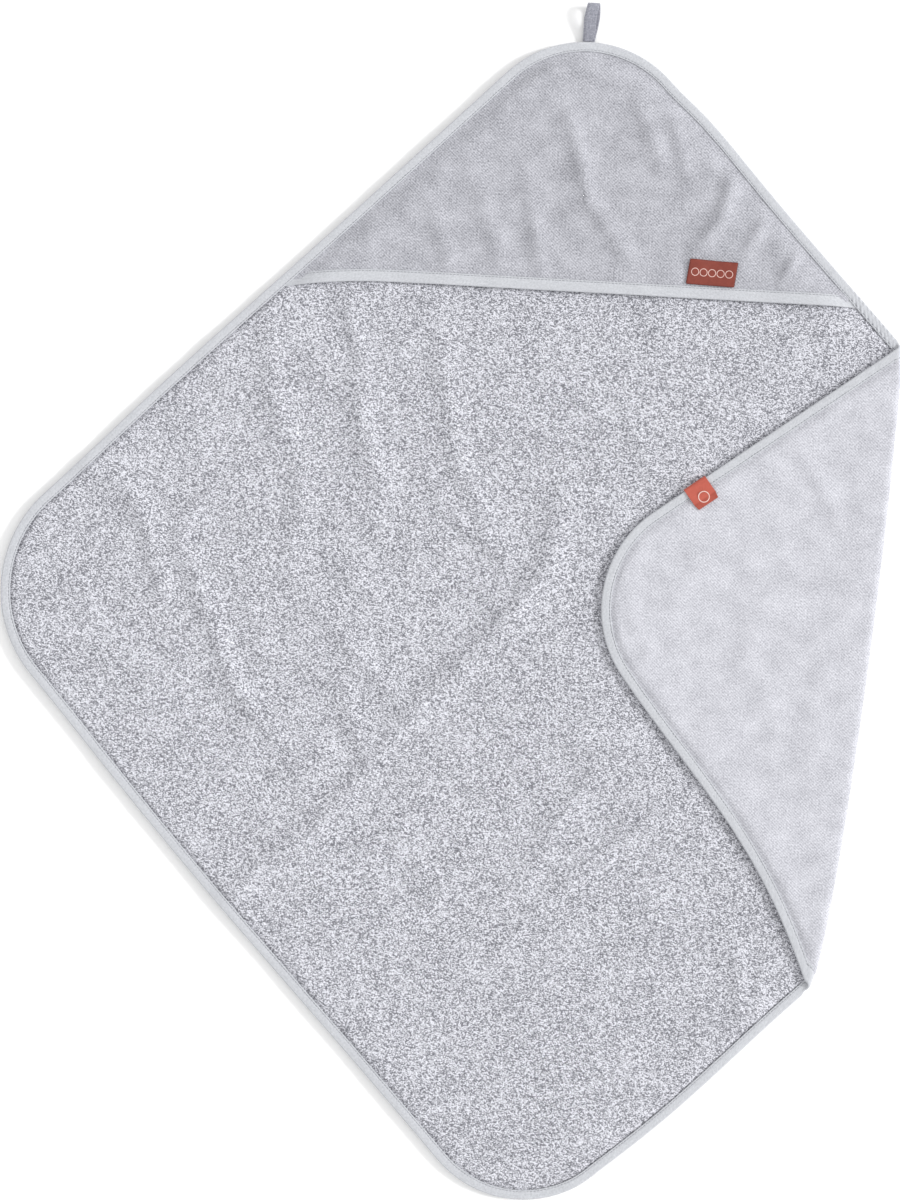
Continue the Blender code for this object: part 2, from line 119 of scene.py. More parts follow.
def ease(low: float, high: float, value: Array) -> Array:
    """A smooth step from 0 at low to 1 at high.

    Args:
        low: Where the step starts.
        high: Where it ends.
        value: The values to step over.

    Returns:
        The step at each value.
    """
    t = np.clip((np.asarray(value, float) - low) / (high - low), 0.0, 1.0)
    return t * t * (3.0 - 2.0 * t)


def meet(p: Array, d: Array, q: Array, e: Array) -> Array:
    """Where the line through p along d crosses the line through q along e."""
    return p + d * (cross(q - p, e) / cross(d, e))


def length_along(line: Array) -> Array:
    """The length from a line's start to each of its points."""
    return np.concatenate([[0.0], np.cumsum(np.linalg.norm(np.diff(line, axis=0), axis=1))])


@dataclass(frozen=True)
class Swell:
    """Soft random waves over the pattern.

    Attributes:
        length: Size of one wave.
        seed: Which waves.
        turn: Direction that the waves are drawn out along, in degrees.
        stretch: How much longer they are in that direction.
    """

    length: float
    seed: int
    turn: float = 0.0
    stretch: float = 1.0

    def at(self, points: Array) -> Array:
        """The waves' height, from -1 to 1, at each point.

        Args:
            points: The points.

        Returns:
            The height at each.
        """
        size = 257
        grid = np.random.default_rng(self.seed).uniform(-1.0, 1.0, (size, size))
        c, s = math.cos(math.radians(self.turn)), math.sin(math.radians(self.turn))
        u = (points[:, 0] * c + points[:, 1] * s) / (self.length * self.stretch) + 128.0
        v = (-points[:, 0] * s + points[:, 1] * c) / self.length + 128.0
        column, row = np.floor(u).astype(int), np.floor(v).astype(int)
        fu, fv = u - column, v - row
        fu, fv = fu * fu * (3 - 2 * fu), fv * fv * (3 - 2 * fv)
        column, row = column % (size - 1), row % (size - 1)
        low = grid[row, column] * (1 - fu) + grid[row, column + 1] * fu
        high = grid[row + 1, column] * (1 - fu) + grid[row + 1, column + 1] * fu
        return low * (1 - fv) + high * fv


@dataclass(frozen=True)
class Crease:
    """A soft ridge in the cloth along a line, dying out at both ends.

    Attributes:
        line: The points that it runs through.
        width: Half of its width.
        height: How high it stands; below nought it is a hollow.
    """

    line: tuple[tuple[float, float], ...]
    width: float
    height: float

    def at(self, points: Array) -> Array:
        """The ridge's height at each point.

        Args:
            points: The points.

        Returns:
            The height at each.
        """
        knots = np.array(self.line)
        lengths = np.linalg.norm(np.diff(knots, axis=0), axis=1)
        starts = length_along(knots)
        best = np.full(len(points), 1e9)
        share = np.zeros(len(points))
        for k, length in enumerate(lengths):
            run = (knots[k + 1] - knots[k]) / length
            along = np.clip((points - knots[k]) @ run, 0.0, length)
            away = np.linalg.norm(points - knots[k] - along[:, None] * run, axis=1)
            nearer = away < best
            best = np.where(nearer, away, best)
            share = np.where(nearer, (starts[k] + along) / starts[-1], share)
        taper = np.sqrt(np.clip(np.sin(math.pi * (0.08 + 0.84 * share)), 0.0, 1.0))
        return self.height * taper * np.exp(-((best / self.width) ** 2))


def heights(fields: Sequence[Crease], points: Array) -> Array:
    """The creases' heights added up at each point."""
    return sum((crease.at(points) for crease in fields), np.zeros(len(points)))


# The pattern
@dataclass
class Side:
    """One side of an outline: its line, how it bows out and between which lengths it is free."""

    start: Array
    end: Array
    bow: tuple[float, float, float]
    free_start: float
    free_end: float

    @property
    def run(self) -> Array:
        """Its direction."""
        return unit(self.end - self.start)

    @property
    def inwards(self) -> Array:
        """The direction into the cloth."""
        return xy(-self.run[1], self.run[0])

    def bowed(self, points: Array) -> Array:
        """The points, moved out as far as the side bows there.

        Args:
            points: Points on the straight side.

        Returns:
            The same points on the bowed one.
        """
        size, peak, power = self.bow
        reach = (points - self.start) @ self.run - self.free_start
        free = np.linalg.norm(self.end - self.start) - self.free_start - self.free_end
        share = np.clip(reach / free, 0.0, 1.0)
        swell = np.abs(np.sin(math.pi * share ** (math.log(0.5) / math.log(peak)))) ** power
        return points - np.multiply.outer(size * swell, self.inwards)


@dataclass
class Outline:
    """A line along several sides with round corners between them, all turning to the left.

    Attributes:
        sides: Its sides.
        radii: Its corners' radii.
        cut: Where its two ends stop.
        pitch: From one point to the next.
        fine: Length at its start with four times as many points.
    """

    sides: list[Side]
    radii: list[float]
    cut: Cut
    pitch: float = 0.0022
    fine: float = 0.060

    def at(self, inset: float, key: float = 0.0) -> Array:
        """The line moved in by inset.

        Args:
            inset: How far inside the edge it runs.
            key: Passed on to the cut at its two ends.

        Returns:
            Its points, as many for every inset.
        """
        feet = [side.start + side.inwards * inset for side in self.sides]
        arcs: list[Array] = []
        for i, radius in enumerate(self.radii):
            run, inwards = self.sides[i].run, self.sides[i].inwards
            turn = math.asin(cross(run, self.sides[i + 1].run))
            if run @ self.sides[i + 1].run < 0:
                turn = math.pi - turn
            corner = meet(feet[i], run, feet[i + 1], self.sides[i + 1].run)
            r = radius - inset
            centre = corner - run * (r * math.tan(turn / 2)) + inwards * r
            angle = np.linspace(0.0, turn, max(8, round(radius * turn / self.pitch)) + 1)
            arcs.append(centre + r * (np.outer(np.sin(angle), run) - np.outer(np.cos(angle), inwards)))
        first = self.cut_side(self.sides[0], feet[0], key)
        last = self.cut_side(self.sides[-1], feet[-1], key)
        starts = [first] + [arc[-1] for arc in arcs]
        ends = [arc[0] for arc in arcs] + [last]
        points = [self.sides[0].bowed(first[None])]
        for i, side in enumerate(self.sides):
            free = np.linalg.norm(side.end - side.start) - side.free_start - side.free_end
            share = np.linspace(0.0, 1.0, max(4, round(free / self.pitch)) + 1)[1:-1]
            if i == 0:
                near = self.fine / free
                dense = np.linspace(0.0, near, round(4 * self.fine / self.pitch) + 1)[1:]
                share = np.concatenate([dense, share[share > near + 0.5 * self.pitch / free]])
            share = share[:, None]
            points.append(side.bowed(starts[i] + (ends[i] - starts[i]) * share))
            points.append(arcs[i] if i < len(arcs) else side.bowed(ends[i][None]))
        return np.vstack(points)

    def cut_side(self, side: Side, foot: Array, key: float) -> Array:
        """The point of a straight side through foot that is bowed onto the cut.

        Args:
            side: The side.
            foot: A point of its line, moved in.
            key: Passed on to the cut.

        Returns:
            The point, before it is bowed.
        """
        point = self.cut(foot, side.run, key)
        for _ in range(20):
            placed = side.bowed(point[None])[0]
            point = point + side.run * ((self.cut(placed, side.run, key) - placed) @ side.run)
        return point


def sides_of(
    corners: Sequence[Array],
    radii: Sequence[float],
    bows: Sequence[tuple[float, float, float]],
    first_free: float = 0.0,
    last_free: float = 0.0,
) -> list[Side]:
    """The sides between the corners, each free to bow between the round corners it meets.

    Args:
        corners: The sharp corners, the first and the last at the outline's ends.
        radii: The round corners' radii.
        bows: How each side bows: how far, where most, and how gently it starts.
        first_free: Length of the first side that is left straight.
        last_free: The same at the end of the last side.

    Returns:
        One side for each pair of corners.
    """
    lines = list(zip(corners, corners[1:]))
    tangents = [first_free]
    for (a, b), (_, c), radius in zip(lines, lines[1:], radii):
        cosine = float(unit(b - a) @ unit(c - b))
        tangents.append(radius * math.tan(math.acos(cosine) / 2))
    tangents.append(last_free)
    pairs = zip(lines, bows, tangents, tangents[1:])
    return [Side(a, b, bow, low, high) for (a, b), bow, low, high in pairs]


@dataclass
class Pattern:
    """The towel's cut and how it was laid out, with the same sizes as its frame."""

    cut_side: float = 0.750
    fold_below_hem: float = 0.0414
    fold_lower_leg: float = 0.424
    flap_upper_take: float = 0.0145
    flap_lower_take: float = 0.0098
    fold_round: float = 0.0043
    hem_height: float = 0.2870
    hem_droop: float = 0.0105
    hem_droop_start: float = -0.150
    apex_radius: float = 0.098
    left_radius: float = 0.112
    bottom_radius: float = 0.096
    flap_radius: float = 0.100

    def __post_init__(self) -> None:
        """Lays out the corners, the fold line and the outlines."""
        half = self.cut_side / math.sqrt(2.0)
        self.apex = xy(0.0020, half + 0.0135)
        self.left = xy(0.0100 - half, 0.0130)
        bottom = xy(-0.0100, -half - 0.0015)
        right = xy(half + 0.0070, -0.0045)
        up_right = unit(self.apex - right)
        upper_leg = (self.hem_height - right[1]) / up_right[1] - self.fold_below_hem
        self.fold_top = right + up_right * upper_leg
        self.fold_foot = right + unit(bottom - right) * self.fold_lower_leg
        self.along = unit(self.fold_top - self.fold_foot)
        self.out = xy(self.along[1], -self.along[0])
        self.line_foot = self.fold_foot - self.out * self.fold_round
        self.fold_length = float(np.linalg.norm(self.fold_top - self.fold_foot))
        self.tip = self.flap_tip(upper_leg - self.flap_upper_take)
        radii = [self.apex_radius, self.left_radius, self.bottom_radius]
        bows = [(0.0029, 0.79, 2), (0.0017, 0.70, 2), (0.0037, 0.40, 2), (0.0034, 0.35, 2)]
        corners = [right, self.apex, self.left, bottom, right]
        sides = sides_of(corners, radii, bows, upper_leg, self.fold_lower_leg)
        self.towel = Outline(sides, radii, self.fold_cut)
        self.middle_run = unit(unit(right - self.apex) + unit(self.left - self.apex))
        self.hood = Outline(sides[:2], radii[:1], self.hem_cut)
        flap_bows = [(0.0, 0.5, 2), (-0.0150, 0.60, 1)]
        flap_sides = sides_of([self.fold_top, self.tip, self.fold_foot], [self.flap_radius], flap_bows)
        self.flap = Outline(flap_sides, [self.flap_radius], self.fold_cut)

    def flap_tip(self, upper_leg: float) -> Array:
        """The laid flap's sharp corner.

        Args:
            upper_leg: Length of the flap's upper side.

        Returns:
            The corner.
        """
        lower_leg = self.fold_lower_leg - self.flap_lower_take
        across = self.fold_length
        up = (lower_leg**2 - upper_leg**2 + across**2) / (2 * across)
        return self.fold_foot + self.along * up - self.out * math.sqrt(lower_leg**2 - up**2)

    def fold_cut(self, point: Array, run: Array, setback: float) -> Array:
        """Where a line meets the fold's straight line, moved inwards by setback."""
        return meet(point, run, self.line_foot - self.out * setback, self.along)

    def hem_cut(self, point: Array, run: Array, lift: float) -> Array:
        """Where a line meets the hem's lower edge, moved up by lift.

        Args:
            point: A point of the line.
            run: Its direction.
            lift: How far up.

        Returns:
            The crossing.
        """
        for _ in range(12):
            point = point - run * ((point[1] - self.hem_at(point[0]) - lift) / run[1])
        return point

    def hem_at(self, x: Array) -> Array:
        """The height of the hood's lower edge: straight, and sinking towards its left end."""
        past = np.maximum(0.0, self.hem_droop_start - x) / (self.hem_droop_start - self.left[0] / 2)
        return self.hem_height - self.hem_droop * past**2

    def above_hem(self, points: Array) -> Array:
        """How far each point lies above the hood's lower edge."""
        return points[:, 1] - self.hem_at(points[:, 0])

    def parting(self, y: Array) -> Array:
        """Where the hood's middle line, through its apex, runs at height y."""
        return self.apex[0] + (y - self.apex[1]) * self.middle_run[0] / self.middle_run[1]

    def outwards(self, points: Array) -> Array:
        """How far each point lies outside the fold's straight line."""
        return (points - self.line_foot) @ self.out

    def upwards(self, points: Array) -> Array:
        """How far each point lies along the fold's straight line."""
        return (points - self.line_foot) @ self.along


def area_of(outline: Array) -> float:
    """The area inside a closed outline."""
    x, y = outline[:, 0], outline[:, 1]
    return float(abs(np.dot(x, np.roll(y, -1)) - np.dot(y, np.roll(x, -1))) / 2)


def inside(points: Array, outline: Array) -> Array:
    """Which points lie inside a closed outline.

    Args:
        points: The points.
        outline: The outline's points.

    Returns:
        True for each point inside.
    """
    within = np.zeros(len(points), bool)
    a, b = outline, np.roll(outline, -1, axis=0)
    for (ax, ay), (bx, by) in zip(a, b):
        if ay == by:
            continue
        spans = (ay > points[:, 1]) != (by > points[:, 1])
        x = ax + (points[:, 1] - ay) * (bx - ax) / (by - ay)
        within ^= spans & (points[:, 0] < x)
    return within


def distance(points: Array, line: Array) -> tuple[Array, Array]:
    """How far each point is from a dense line.

    Args:
        points: The points.
        line: The line's points.

    Returns:
        The distances, and the number of the nearest line point.
    """
    away, which = np.empty(len(points)), np.empty(len(points), int)
    for k in range(0, len(points), 4000):
        block = points[k : k + 4000]
        gap = (block[:, None, 0] - line[None, :, 0]) ** 2 + (block[:, None, 1] - line[None, :, 1]) ** 2
        which[k : k + 4000] = gap.argmin(axis=1)
        away[k : k + 4000] = np.sqrt(gap.min(axis=1))
    return away, which


def scattered(outline: Array, pitch: float, seed: int, jitter: float = 0.32) -> Array:
    """Points spread evenly but not in rows inside a closed outline.

    Args:
        outline: The outline.
        pitch: How far apart they are.
        seed: Which spread.
        jitter: How far each is moved, as a share of the pitch.

    Returns:
        The points.
    """
    low, high = outline.min(0), outline.max(0)
    rows = np.arange(low[1], high[1], pitch * math.sqrt(0.75))
    columns = np.arange(low[0], high[0], pitch)
    x, y = np.meshgrid(columns, rows)
    x = x + (np.arange(len(rows)) % 2)[:, None] * pitch / 2
    points = np.column_stack([x.ravel(), y.ravel()])
    points += np.random.default_rng(seed).uniform(-jitter, jitter, points.shape) * pitch
    return points[inside(points, outline)]


# Meshes
def put(name: str, data: bpy.types.ID) -> Piece:
    """A new object in the scene, at the origin.

    Args:
        name: Its name.
        data: Its mesh, lamp or camera.

    Returns:
        The object.
    """
    obj = bpy.data.objects.new(name, data)
    bpy.context.scene.collection.objects.link(obj)
    return obj


def make_piece(
    name: str,
    points: Array,
    faces: Sequence[Sequence[int]],
    materials: Sequence[Material],
    flat: Array | None = None,
    which: Array | None = None,
    sharp: float | None = None,
) -> Piece:
    """A smooth-shaded object.

    Args:
        name: The piece's name.
        points: Its corners.
        faces: Its faces.
        materials: Its materials.
        flat: For each corner of the mesh, its place in the flat map.
        which: For each face, the number of its material.
        sharp: Angle in degrees past which an edge stays sharp.

    Returns:
        The object, at the origin.
    """
    mesh = bpy.data.meshes.new(name)
    mesh.from_pydata([tuple(p) for p in points], [], [tuple(int(i) for i in f) for f in faces])
    for material in materials:
        mesh.materials.append(material)
    mesh.polygons.foreach_set("use_smooth", np.ones(len(mesh.polygons), bool))
    if which is not None:
        mesh.polygons.foreach_set("material_index", np.asarray(which, np.int32))
    if flat is not None:
        corner = np.zeros(len(mesh.loops), np.int32)
        mesh.loops.foreach_get("vertex_index", corner)
        layer = mesh.uv_layers.new(name=FLAT_MAP)
        layer.data.foreach_set("uv", np.asarray(flat, np.float32)[corner].ravel())
    mesh.update()
    obj = put(name, mesh)
    if sharp is not None:
        mesh.set_sharp_from_angle(angle=math.radians(sharp))
    return obj


def triangles(outline: Array, fill: Array) -> tuple[Array, Array]:
    """Triangles over a closed outline and the points inside it.

    Args:
        outline: The closed outline.
        fill: The points inside.

    Returns:
        All points, the outline's first, and the triangles, seen from above.
    """
    points = np.vstack([outline, fill])
    count = len(outline)
    made = delaunay_2d_cdt([Vector(p) for p in points], [], [list(range(count))], 1, 1e-7, True)
    source = [origin[0] if origin else -1 for origin in made[3]]
    faces = np.array([[source[i] for i in face] for face in made[2]])
    faces = peeled(faces[(faces >= 0).all(axis=1)], count)
    a, b, c = (points[faces[:, k]] for k in range(3))
    turned = (b[:, 0] - a[:, 0]) * (c[:, 1] - a[:, 1]) - (b[:, 1] - a[:, 1]) * (c[:, 0] - a[:, 0])
    faces[turned < 0] = faces[turned < 0][:, ::-1]
    return points, faces


def peeled(faces: Array, count: int) -> Array:
    """The triangles without those outside the outline, peeled off from the outermost.

    Args:
        faces: The triangles.
        count: How many of the first points are the outline's.

    Returns:
        The triangles inside.
    """
    rim = {(k, k + 1) for k in range(count - 1)} | {(0, count - 1)}
    users: dict[tuple[int, int], set[int]] = {}
    for number in np.flatnonzero((faces < count).sum(axis=1) >= 2):
        for a, b in rim_edges(faces[number], count):
            users.setdefault((a, b), set()).add(int(number))
    loose = [edge for edge, own in users.items() if len(own) == 1 and edge not in rim]
    gone: set[int] = set()
    while loose:
        for number in list(users[loose.pop()]):
            gone.add(number)
            for edge in rim_edges(faces[number], count):
                users[edge].discard(number)
                if len(users[edge]) == 1 and edge not in rim:
                    loose.append(edge)
    return np.delete(faces, sorted(gone), axis=0)


def rim_edges(face: Array, count: int) -> list[tuple[int, int]]:
    """A triangle's edges that join two of the first points."""
    pairs = ((face[0], face[1]), (face[1], face[2]), (face[2], face[0]))
    return [(int(min(pair)), int(max(pair))) for pair in pairs if max(pair) < count]


class Lay:
    """How a flat cloth is placed. Heights are counted from the cloth's smooth back."""

    def chart(self, flat: Array) -> Array:
        """The flat points' places in the flat map."""
        return flat

    def place(self, flat: Array, above: Array) -> Array:
        """The place of each flat point, this far above the smooth back."""
        raise NotImplementedError


@dataclass
class Cloth:
    """A sheet of cloth with a terry side and a smooth side.

    Attributes:
        name: The piece's name.
        lay: How it is placed.
        outline: Its closed outline, flat.
        pile_fill: Points inside for the terry side.
        back_fill: Points inside for the smooth side.
        pile_at: The terry side's height at flat points, counted as the lay counts it.
        back_at: The smooth side's height, counted the same way.
        flips: Whether the lay turns the cloth over.
    """

    name: str
    lay: Lay
    outline: Array
    pile_fill: Array
    back_fill: Array
    pile_at: Callable[[Array], Array]
    back_at: Callable[[Array], Array]
    flips: bool = False

    def build(self, terry: Material, back: Material) -> Piece:
        """The closed sheet, with its terry side and its smooth side.

        Args:
            terry: Material of the terry side.
            back: Material of the smooth side.

        Returns:
            The piece.
        """
        upper, upper_faces = triangles(self.outline, self.pile_fill)
        lower, lower_faces = triangles(self.outline, self.back_fill)
        n, rim = len(upper), len(self.outline)
        sides = ((upper, self.pile_at), (lower, self.back_at))
        points = np.vstack([self.lay.place(spots, height_at(spots)) for spots, height_at in sides])
        ring = np.arange(rim)
        after = (ring + 1) % rim
        walls = np.column_stack([ring, ring + n, after + n, after])
        faces = [*upper_faces, *(lower_faces[:, ::-1] + n), *walls]
        if self.flips:
            faces = [f[::-1] for f in faces]
        which = np.repeat([0, 1, 0], [len(upper_faces), len(lower_faces), len(walls)])
        flat = self.lay.chart(np.vstack([upper, lower]))
        return make_piece(self.name, points, faces, [terry, back], flat, which, sharp=75.0)


def tube_faces(count: int, size: int) -> list[Sequence[int]]:
    """The faces of a closed band with both ends capped.

    Args:
        count: How many rows of points go round it.
        size: How many points each row has along it.

    Returns:
        The faces.
    """
    index = np.arange(count * size).reshape(count, size)
    after = np.roll(index, -1, axis=0)
    faces = np.stack([index[:, :-1], index[:, 1:], after[:, 1:], after[:, :-1]], axis=-1).reshape(-1, 4)
    return [*faces, list(index[:, 0]), list(index[::-1, -1])]


def sweep(
    name: str,
    lay: Lay,
    path_at: Callable[[float], Array],
    profile: Profile,
    material: Material,
    lift: Lift | None = None,
) -> Piece:
    """A closed band of this profile along a path on a cloth, with both ends capped.

    Args:
        name: The piece's name.
        lay: How the cloth is placed.
        path_at: The path's flat points at an inset.
        profile: Pairs of inset and height above the smooth back, going round the band.
        material: Its material.
        lift: Adds to the height: from the points, the lengths along the path and the inset.

    Returns:
        The piece.
    """
    rings, maps = [], []
    middle = path_at(profile[0][0])
    length = length_along(middle)
    girth = 0.0
    last = profile[0]
    for inset, height in profile:
        flat = path_at(inset)
        above = np.full(len(flat), height)
        if lift is not None:
            above = above + lift(flat, length, inset)
        girth += math.hypot(inset - last[0], height - last[1])
        last = (inset, height)
        rings.append(lay.place(flat, above))
        maps.append(np.column_stack([length, np.full(len(flat), girth)]))
    faces = tube_faces(len(profile), len(middle))
    piece = make_piece(name, np.vstack(rings), faces, [material], np.vstack(maps), None, 70.0)
    turn_out(piece)
    return piece


def turn_out(piece: Piece) -> None:
    """Turns a closed mesh right side out.

    Args:
        piece: Its object.
    """
    mesh = piece.data
    mesh.calc_loop_triangles()
    points = np.array([v.co for v in mesh.vertices], float)
    corners = np.zeros(len(mesh.loop_triangles) * 3, np.int32)
    mesh.loop_triangles.foreach_get("vertices", corners)
    a, b, c = (points[corners.reshape(-1, 3)[:, k]] for k in range(3))
    if np.einsum("ij,ij->i", a - points.mean(0), np.cross(b, c)).sum() < 0:
        mesh.flip_normals()


def round_tape(width: float, low: float, high: float, groove: float) -> list[tuple[float, float]]:
    """The profile of a tape folded round an edge.

    Args:
        width: From its outer edge to its inner edges.
        low: Its underside.
        high: Its upper side.
        groove: Where its seam pulls it in, from the outer edge.

    Returns:
        Pairs of inset and height, going round: upper side, outer edge, underside, inner walls.
    """
    middle, half = (low + high) / 2, (high - low) / 2
    top = [(width, high - 0.00030), (width - 0.0002, high - 0.00004), (width - 0.0006, high + 0.00010)]
    top += [(groove + 0.0004, high), (groove, high - 0.00022), (groove - 0.0004, high)]
    top += [(groove - 0.0011, high + 0.00012), ((groove + half) / 2, high + 0.00004)]
    turns = np.linspace(0.5 * math.pi, 1.5 * math.pi, 11)
    edge = [(half * (1 + math.cos(t)), middle + half * math.sin(t)) for t in turns]
    under = [(inset, 2 * middle - height) for inset, height in reversed(top)]
    wall = TAPE
    inner = [(width - 0.0001, low + wall), (half, low + wall), (wall, middle)]
    inner += [(half, high - wall), (width - 0.0001, high - wall)]
    return [*top, *edge, *under, *inner]


# Lays
TERRY_CREASES = (
    Crease(((-0.210, 0.270), (-0.195, 0.230), (-0.180, 0.205)), 0.008, -0.0022),
    Crease(((-0.192, 0.262), (-0.183, 0.225), (-0.172, 0.150), (-0.155, 0.110)), 0.011, 0.0030),
    Crease(((-0.260, 0.245), (-0.255, 0.200), (-0.240, 0.150)), 0.010, 0.0022),
    Crease(((-0.225, 0.135), (-0.225, 0.090), (-0.230, 0.040)), 0.010, 0.0022),
    Crease(((-0.115, 0.250), (-0.100, 0.175), (-0.090, 0.130), (-0.050, 0.060)), 0.011, 0.0028),
    Crease(((-0.405, 0.115), (-0.370, 0.095), (-0.350, 0.060), (-0.340, 0.015)), 0.010, 0.0030),
    Crease(((-0.325, 0.055), (-0.295, -0.010), (-0.270, -0.070), (-0.235, -0.105)), 0.009, 0.0030),
    Crease(((0.000, 0.110), (-0.010, 0.050), (-0.055, -0.015), (-0.115, -0.075)), 0.012, 0.0042),
    Crease(((-0.115, -0.075), (-0.170, -0.150), (-0.265, -0.240)), 0.010, 0.0026),
    Crease(((-0.210, 0.010), (-0.165, -0.035), (-0.125, -0.075)), 0.009, 0.0020),
    Crease(((-0.180, -0.065), (-0.160, -0.115)), 0.009, 0.0018),
    Crease(((-0.015, -0.225), (0.010, -0.165), (0.045, -0.115), (0.080, -0.090)), 0.010, 0.0026),
    Crease(((-0.040, -0.285), (0.015, -0.225), (0.065, -0.180), (0.130, -0.135)), 0.007, 0.0020),
    Crease(((0.040, 0.205), (0.075, 0.135)), 0.007, 0.0014),
    Crease(((-0.265, -0.235), (-0.210, -0.205), (-0.170, -0.160)), 0.009, 0.0018),
    Crease(((-0.115, 0.120), (-0.080, 0.080), (-0.045, 0.055)), 0.009, 0.0020),
    Crease(((-0.065, -0.430), (-0.005, -0.450), (0.060, -0.430)), 0.010, 0.0022),
    Crease(((0.170, -0.260), (0.175, -0.325)), 0.007, 0.0024),
    Crease(((0.195, -0.275), (0.188, -0.320)), 0.006, 0.0020),
    Crease(((-0.310, 0.100), (-0.335, 0.040)), 0.010, 0.0016),
    Crease(((-0.150, 0.015), (-0.195, 0.045)), 0.009, 0.0018),
)
HOOD_CREASES = (
    Crease(((-0.045, 0.375), (-0.030, 0.305)), 0.008, 0.0022),
    Crease(((-0.012, 0.435), (0.008, 0.365), (0.043, 0.320)), 0.008, 0.0028),
    Crease(((0.134, 0.405), (0.121, 0.355), (0.100, 0.325)), 0.008, 0.0042),
    Crease(((0.165, 0.370), (0.145, 0.330)), 0.006, 0.0028),
    Crease(((0.195, 0.340), (0.175, 0.305)), 0.005, 0.0024),
    Crease(((-0.070, 0.450), (-0.035, 0.475), (0.010, 0.485)), 0.008, 0.0022),
    Crease(((0.045, 0.450), (0.070, 0.395)), 0.009, 0.0026),
    Crease(((-0.095, 0.390), (-0.065, 0.310)), 0.009, 0.0018),
    Crease(((-0.130, 0.360), (-0.110, 0.310)), 0.008, 0.0016),
    Crease(((0.075, 0.440), (0.090, 0.390)), 0.007, 0.0020),
)
FLAP_CREASES = (
    Crease(((0.190, 0.175), (0.230, 0.115), (0.260, 0.055)), 0.006, 0.0016),
    Crease(((0.060, 0.025), (0.080, -0.025)), 0.006, 0.0026),
    Crease(((0.052, 0.000), (0.064, -0.022)), 0.005, 0.0018),
    Crease(((0.120, -0.085), (0.180, -0.055), (0.200, -0.075)), 0.012, 0.0030),
    Crease(((0.175, -0.155), (0.220, -0.225)), 0.008, 0.0024),
    Crease(((0.120, 0.065), (0.070, -0.005)), 0.014, 0.0018),
    Crease(((0.235, 0.000), (0.230, -0.100)), 0.014, 0.0024),
    Crease(((0.180, 0.035), (0.160, -0.020)), 0.010, 0.0016),
)


@dataclass
class TableLay(Lay):
    """The cloth lying on the table, terry side up, in soft creases.

    Attributes:
        pattern: The towel's pattern.
        shift: From the pattern's middle to the origin.
        calm: How far from the fold the cloth lies flat.
        swell: Height of its broad waves.
        crumple: Height of its small ones.
        crease: How much of their height its creases have.
    """

    pattern: Pattern
    shift: Array
    calm: float = 0.060
    swell: float = 0.0016
    crumple: float = 0.0012
    crease: float = 1.35

    def covered(self, flat: Array) -> Array:
        """How far under the folded corner each point lies, from 0 to 1.

        Args:
            flat: The flat points.

        Returns:
            The share at each.
        """
        edge = self.pattern.flap.at(0.0)
        away, _ = distance(flat, edge)
        return ease(-0.030, 0.006, np.where(inside(flat, edge), away, -away))

    def rise(self, flat: Array) -> Array:
        """How far the cloth's waves lift it off the table.

        Args:
            flat: The flat points.

        Returns:
            The lift at each.
        """
        broad = 1.0 + Swell(0.090, 3, 17.0).at(flat) * 0.6 + Swell(0.070, 4, 61.0).at(flat) * 0.4
        waves = self.swell * broad / 2
        waves += self.crumple * (0.5 + 0.5 * Swell(0.021, 5, 118.0, 2.4).at(flat))
        waves += self.crease * heights(TERRY_CREASES, flat)
        still = ease(0.0, self.calm, -self.pattern.outwards(flat)) * (1.0 - 0.72 * self.covered(flat))
        return np.maximum(waves, 0.0) * still

    def place(self, flat: Array, above: Array) -> Array:
        """The place of each flat point, this far above the smooth back."""
        return np.column_stack([flat + self.shift, self.rise(flat) + above])


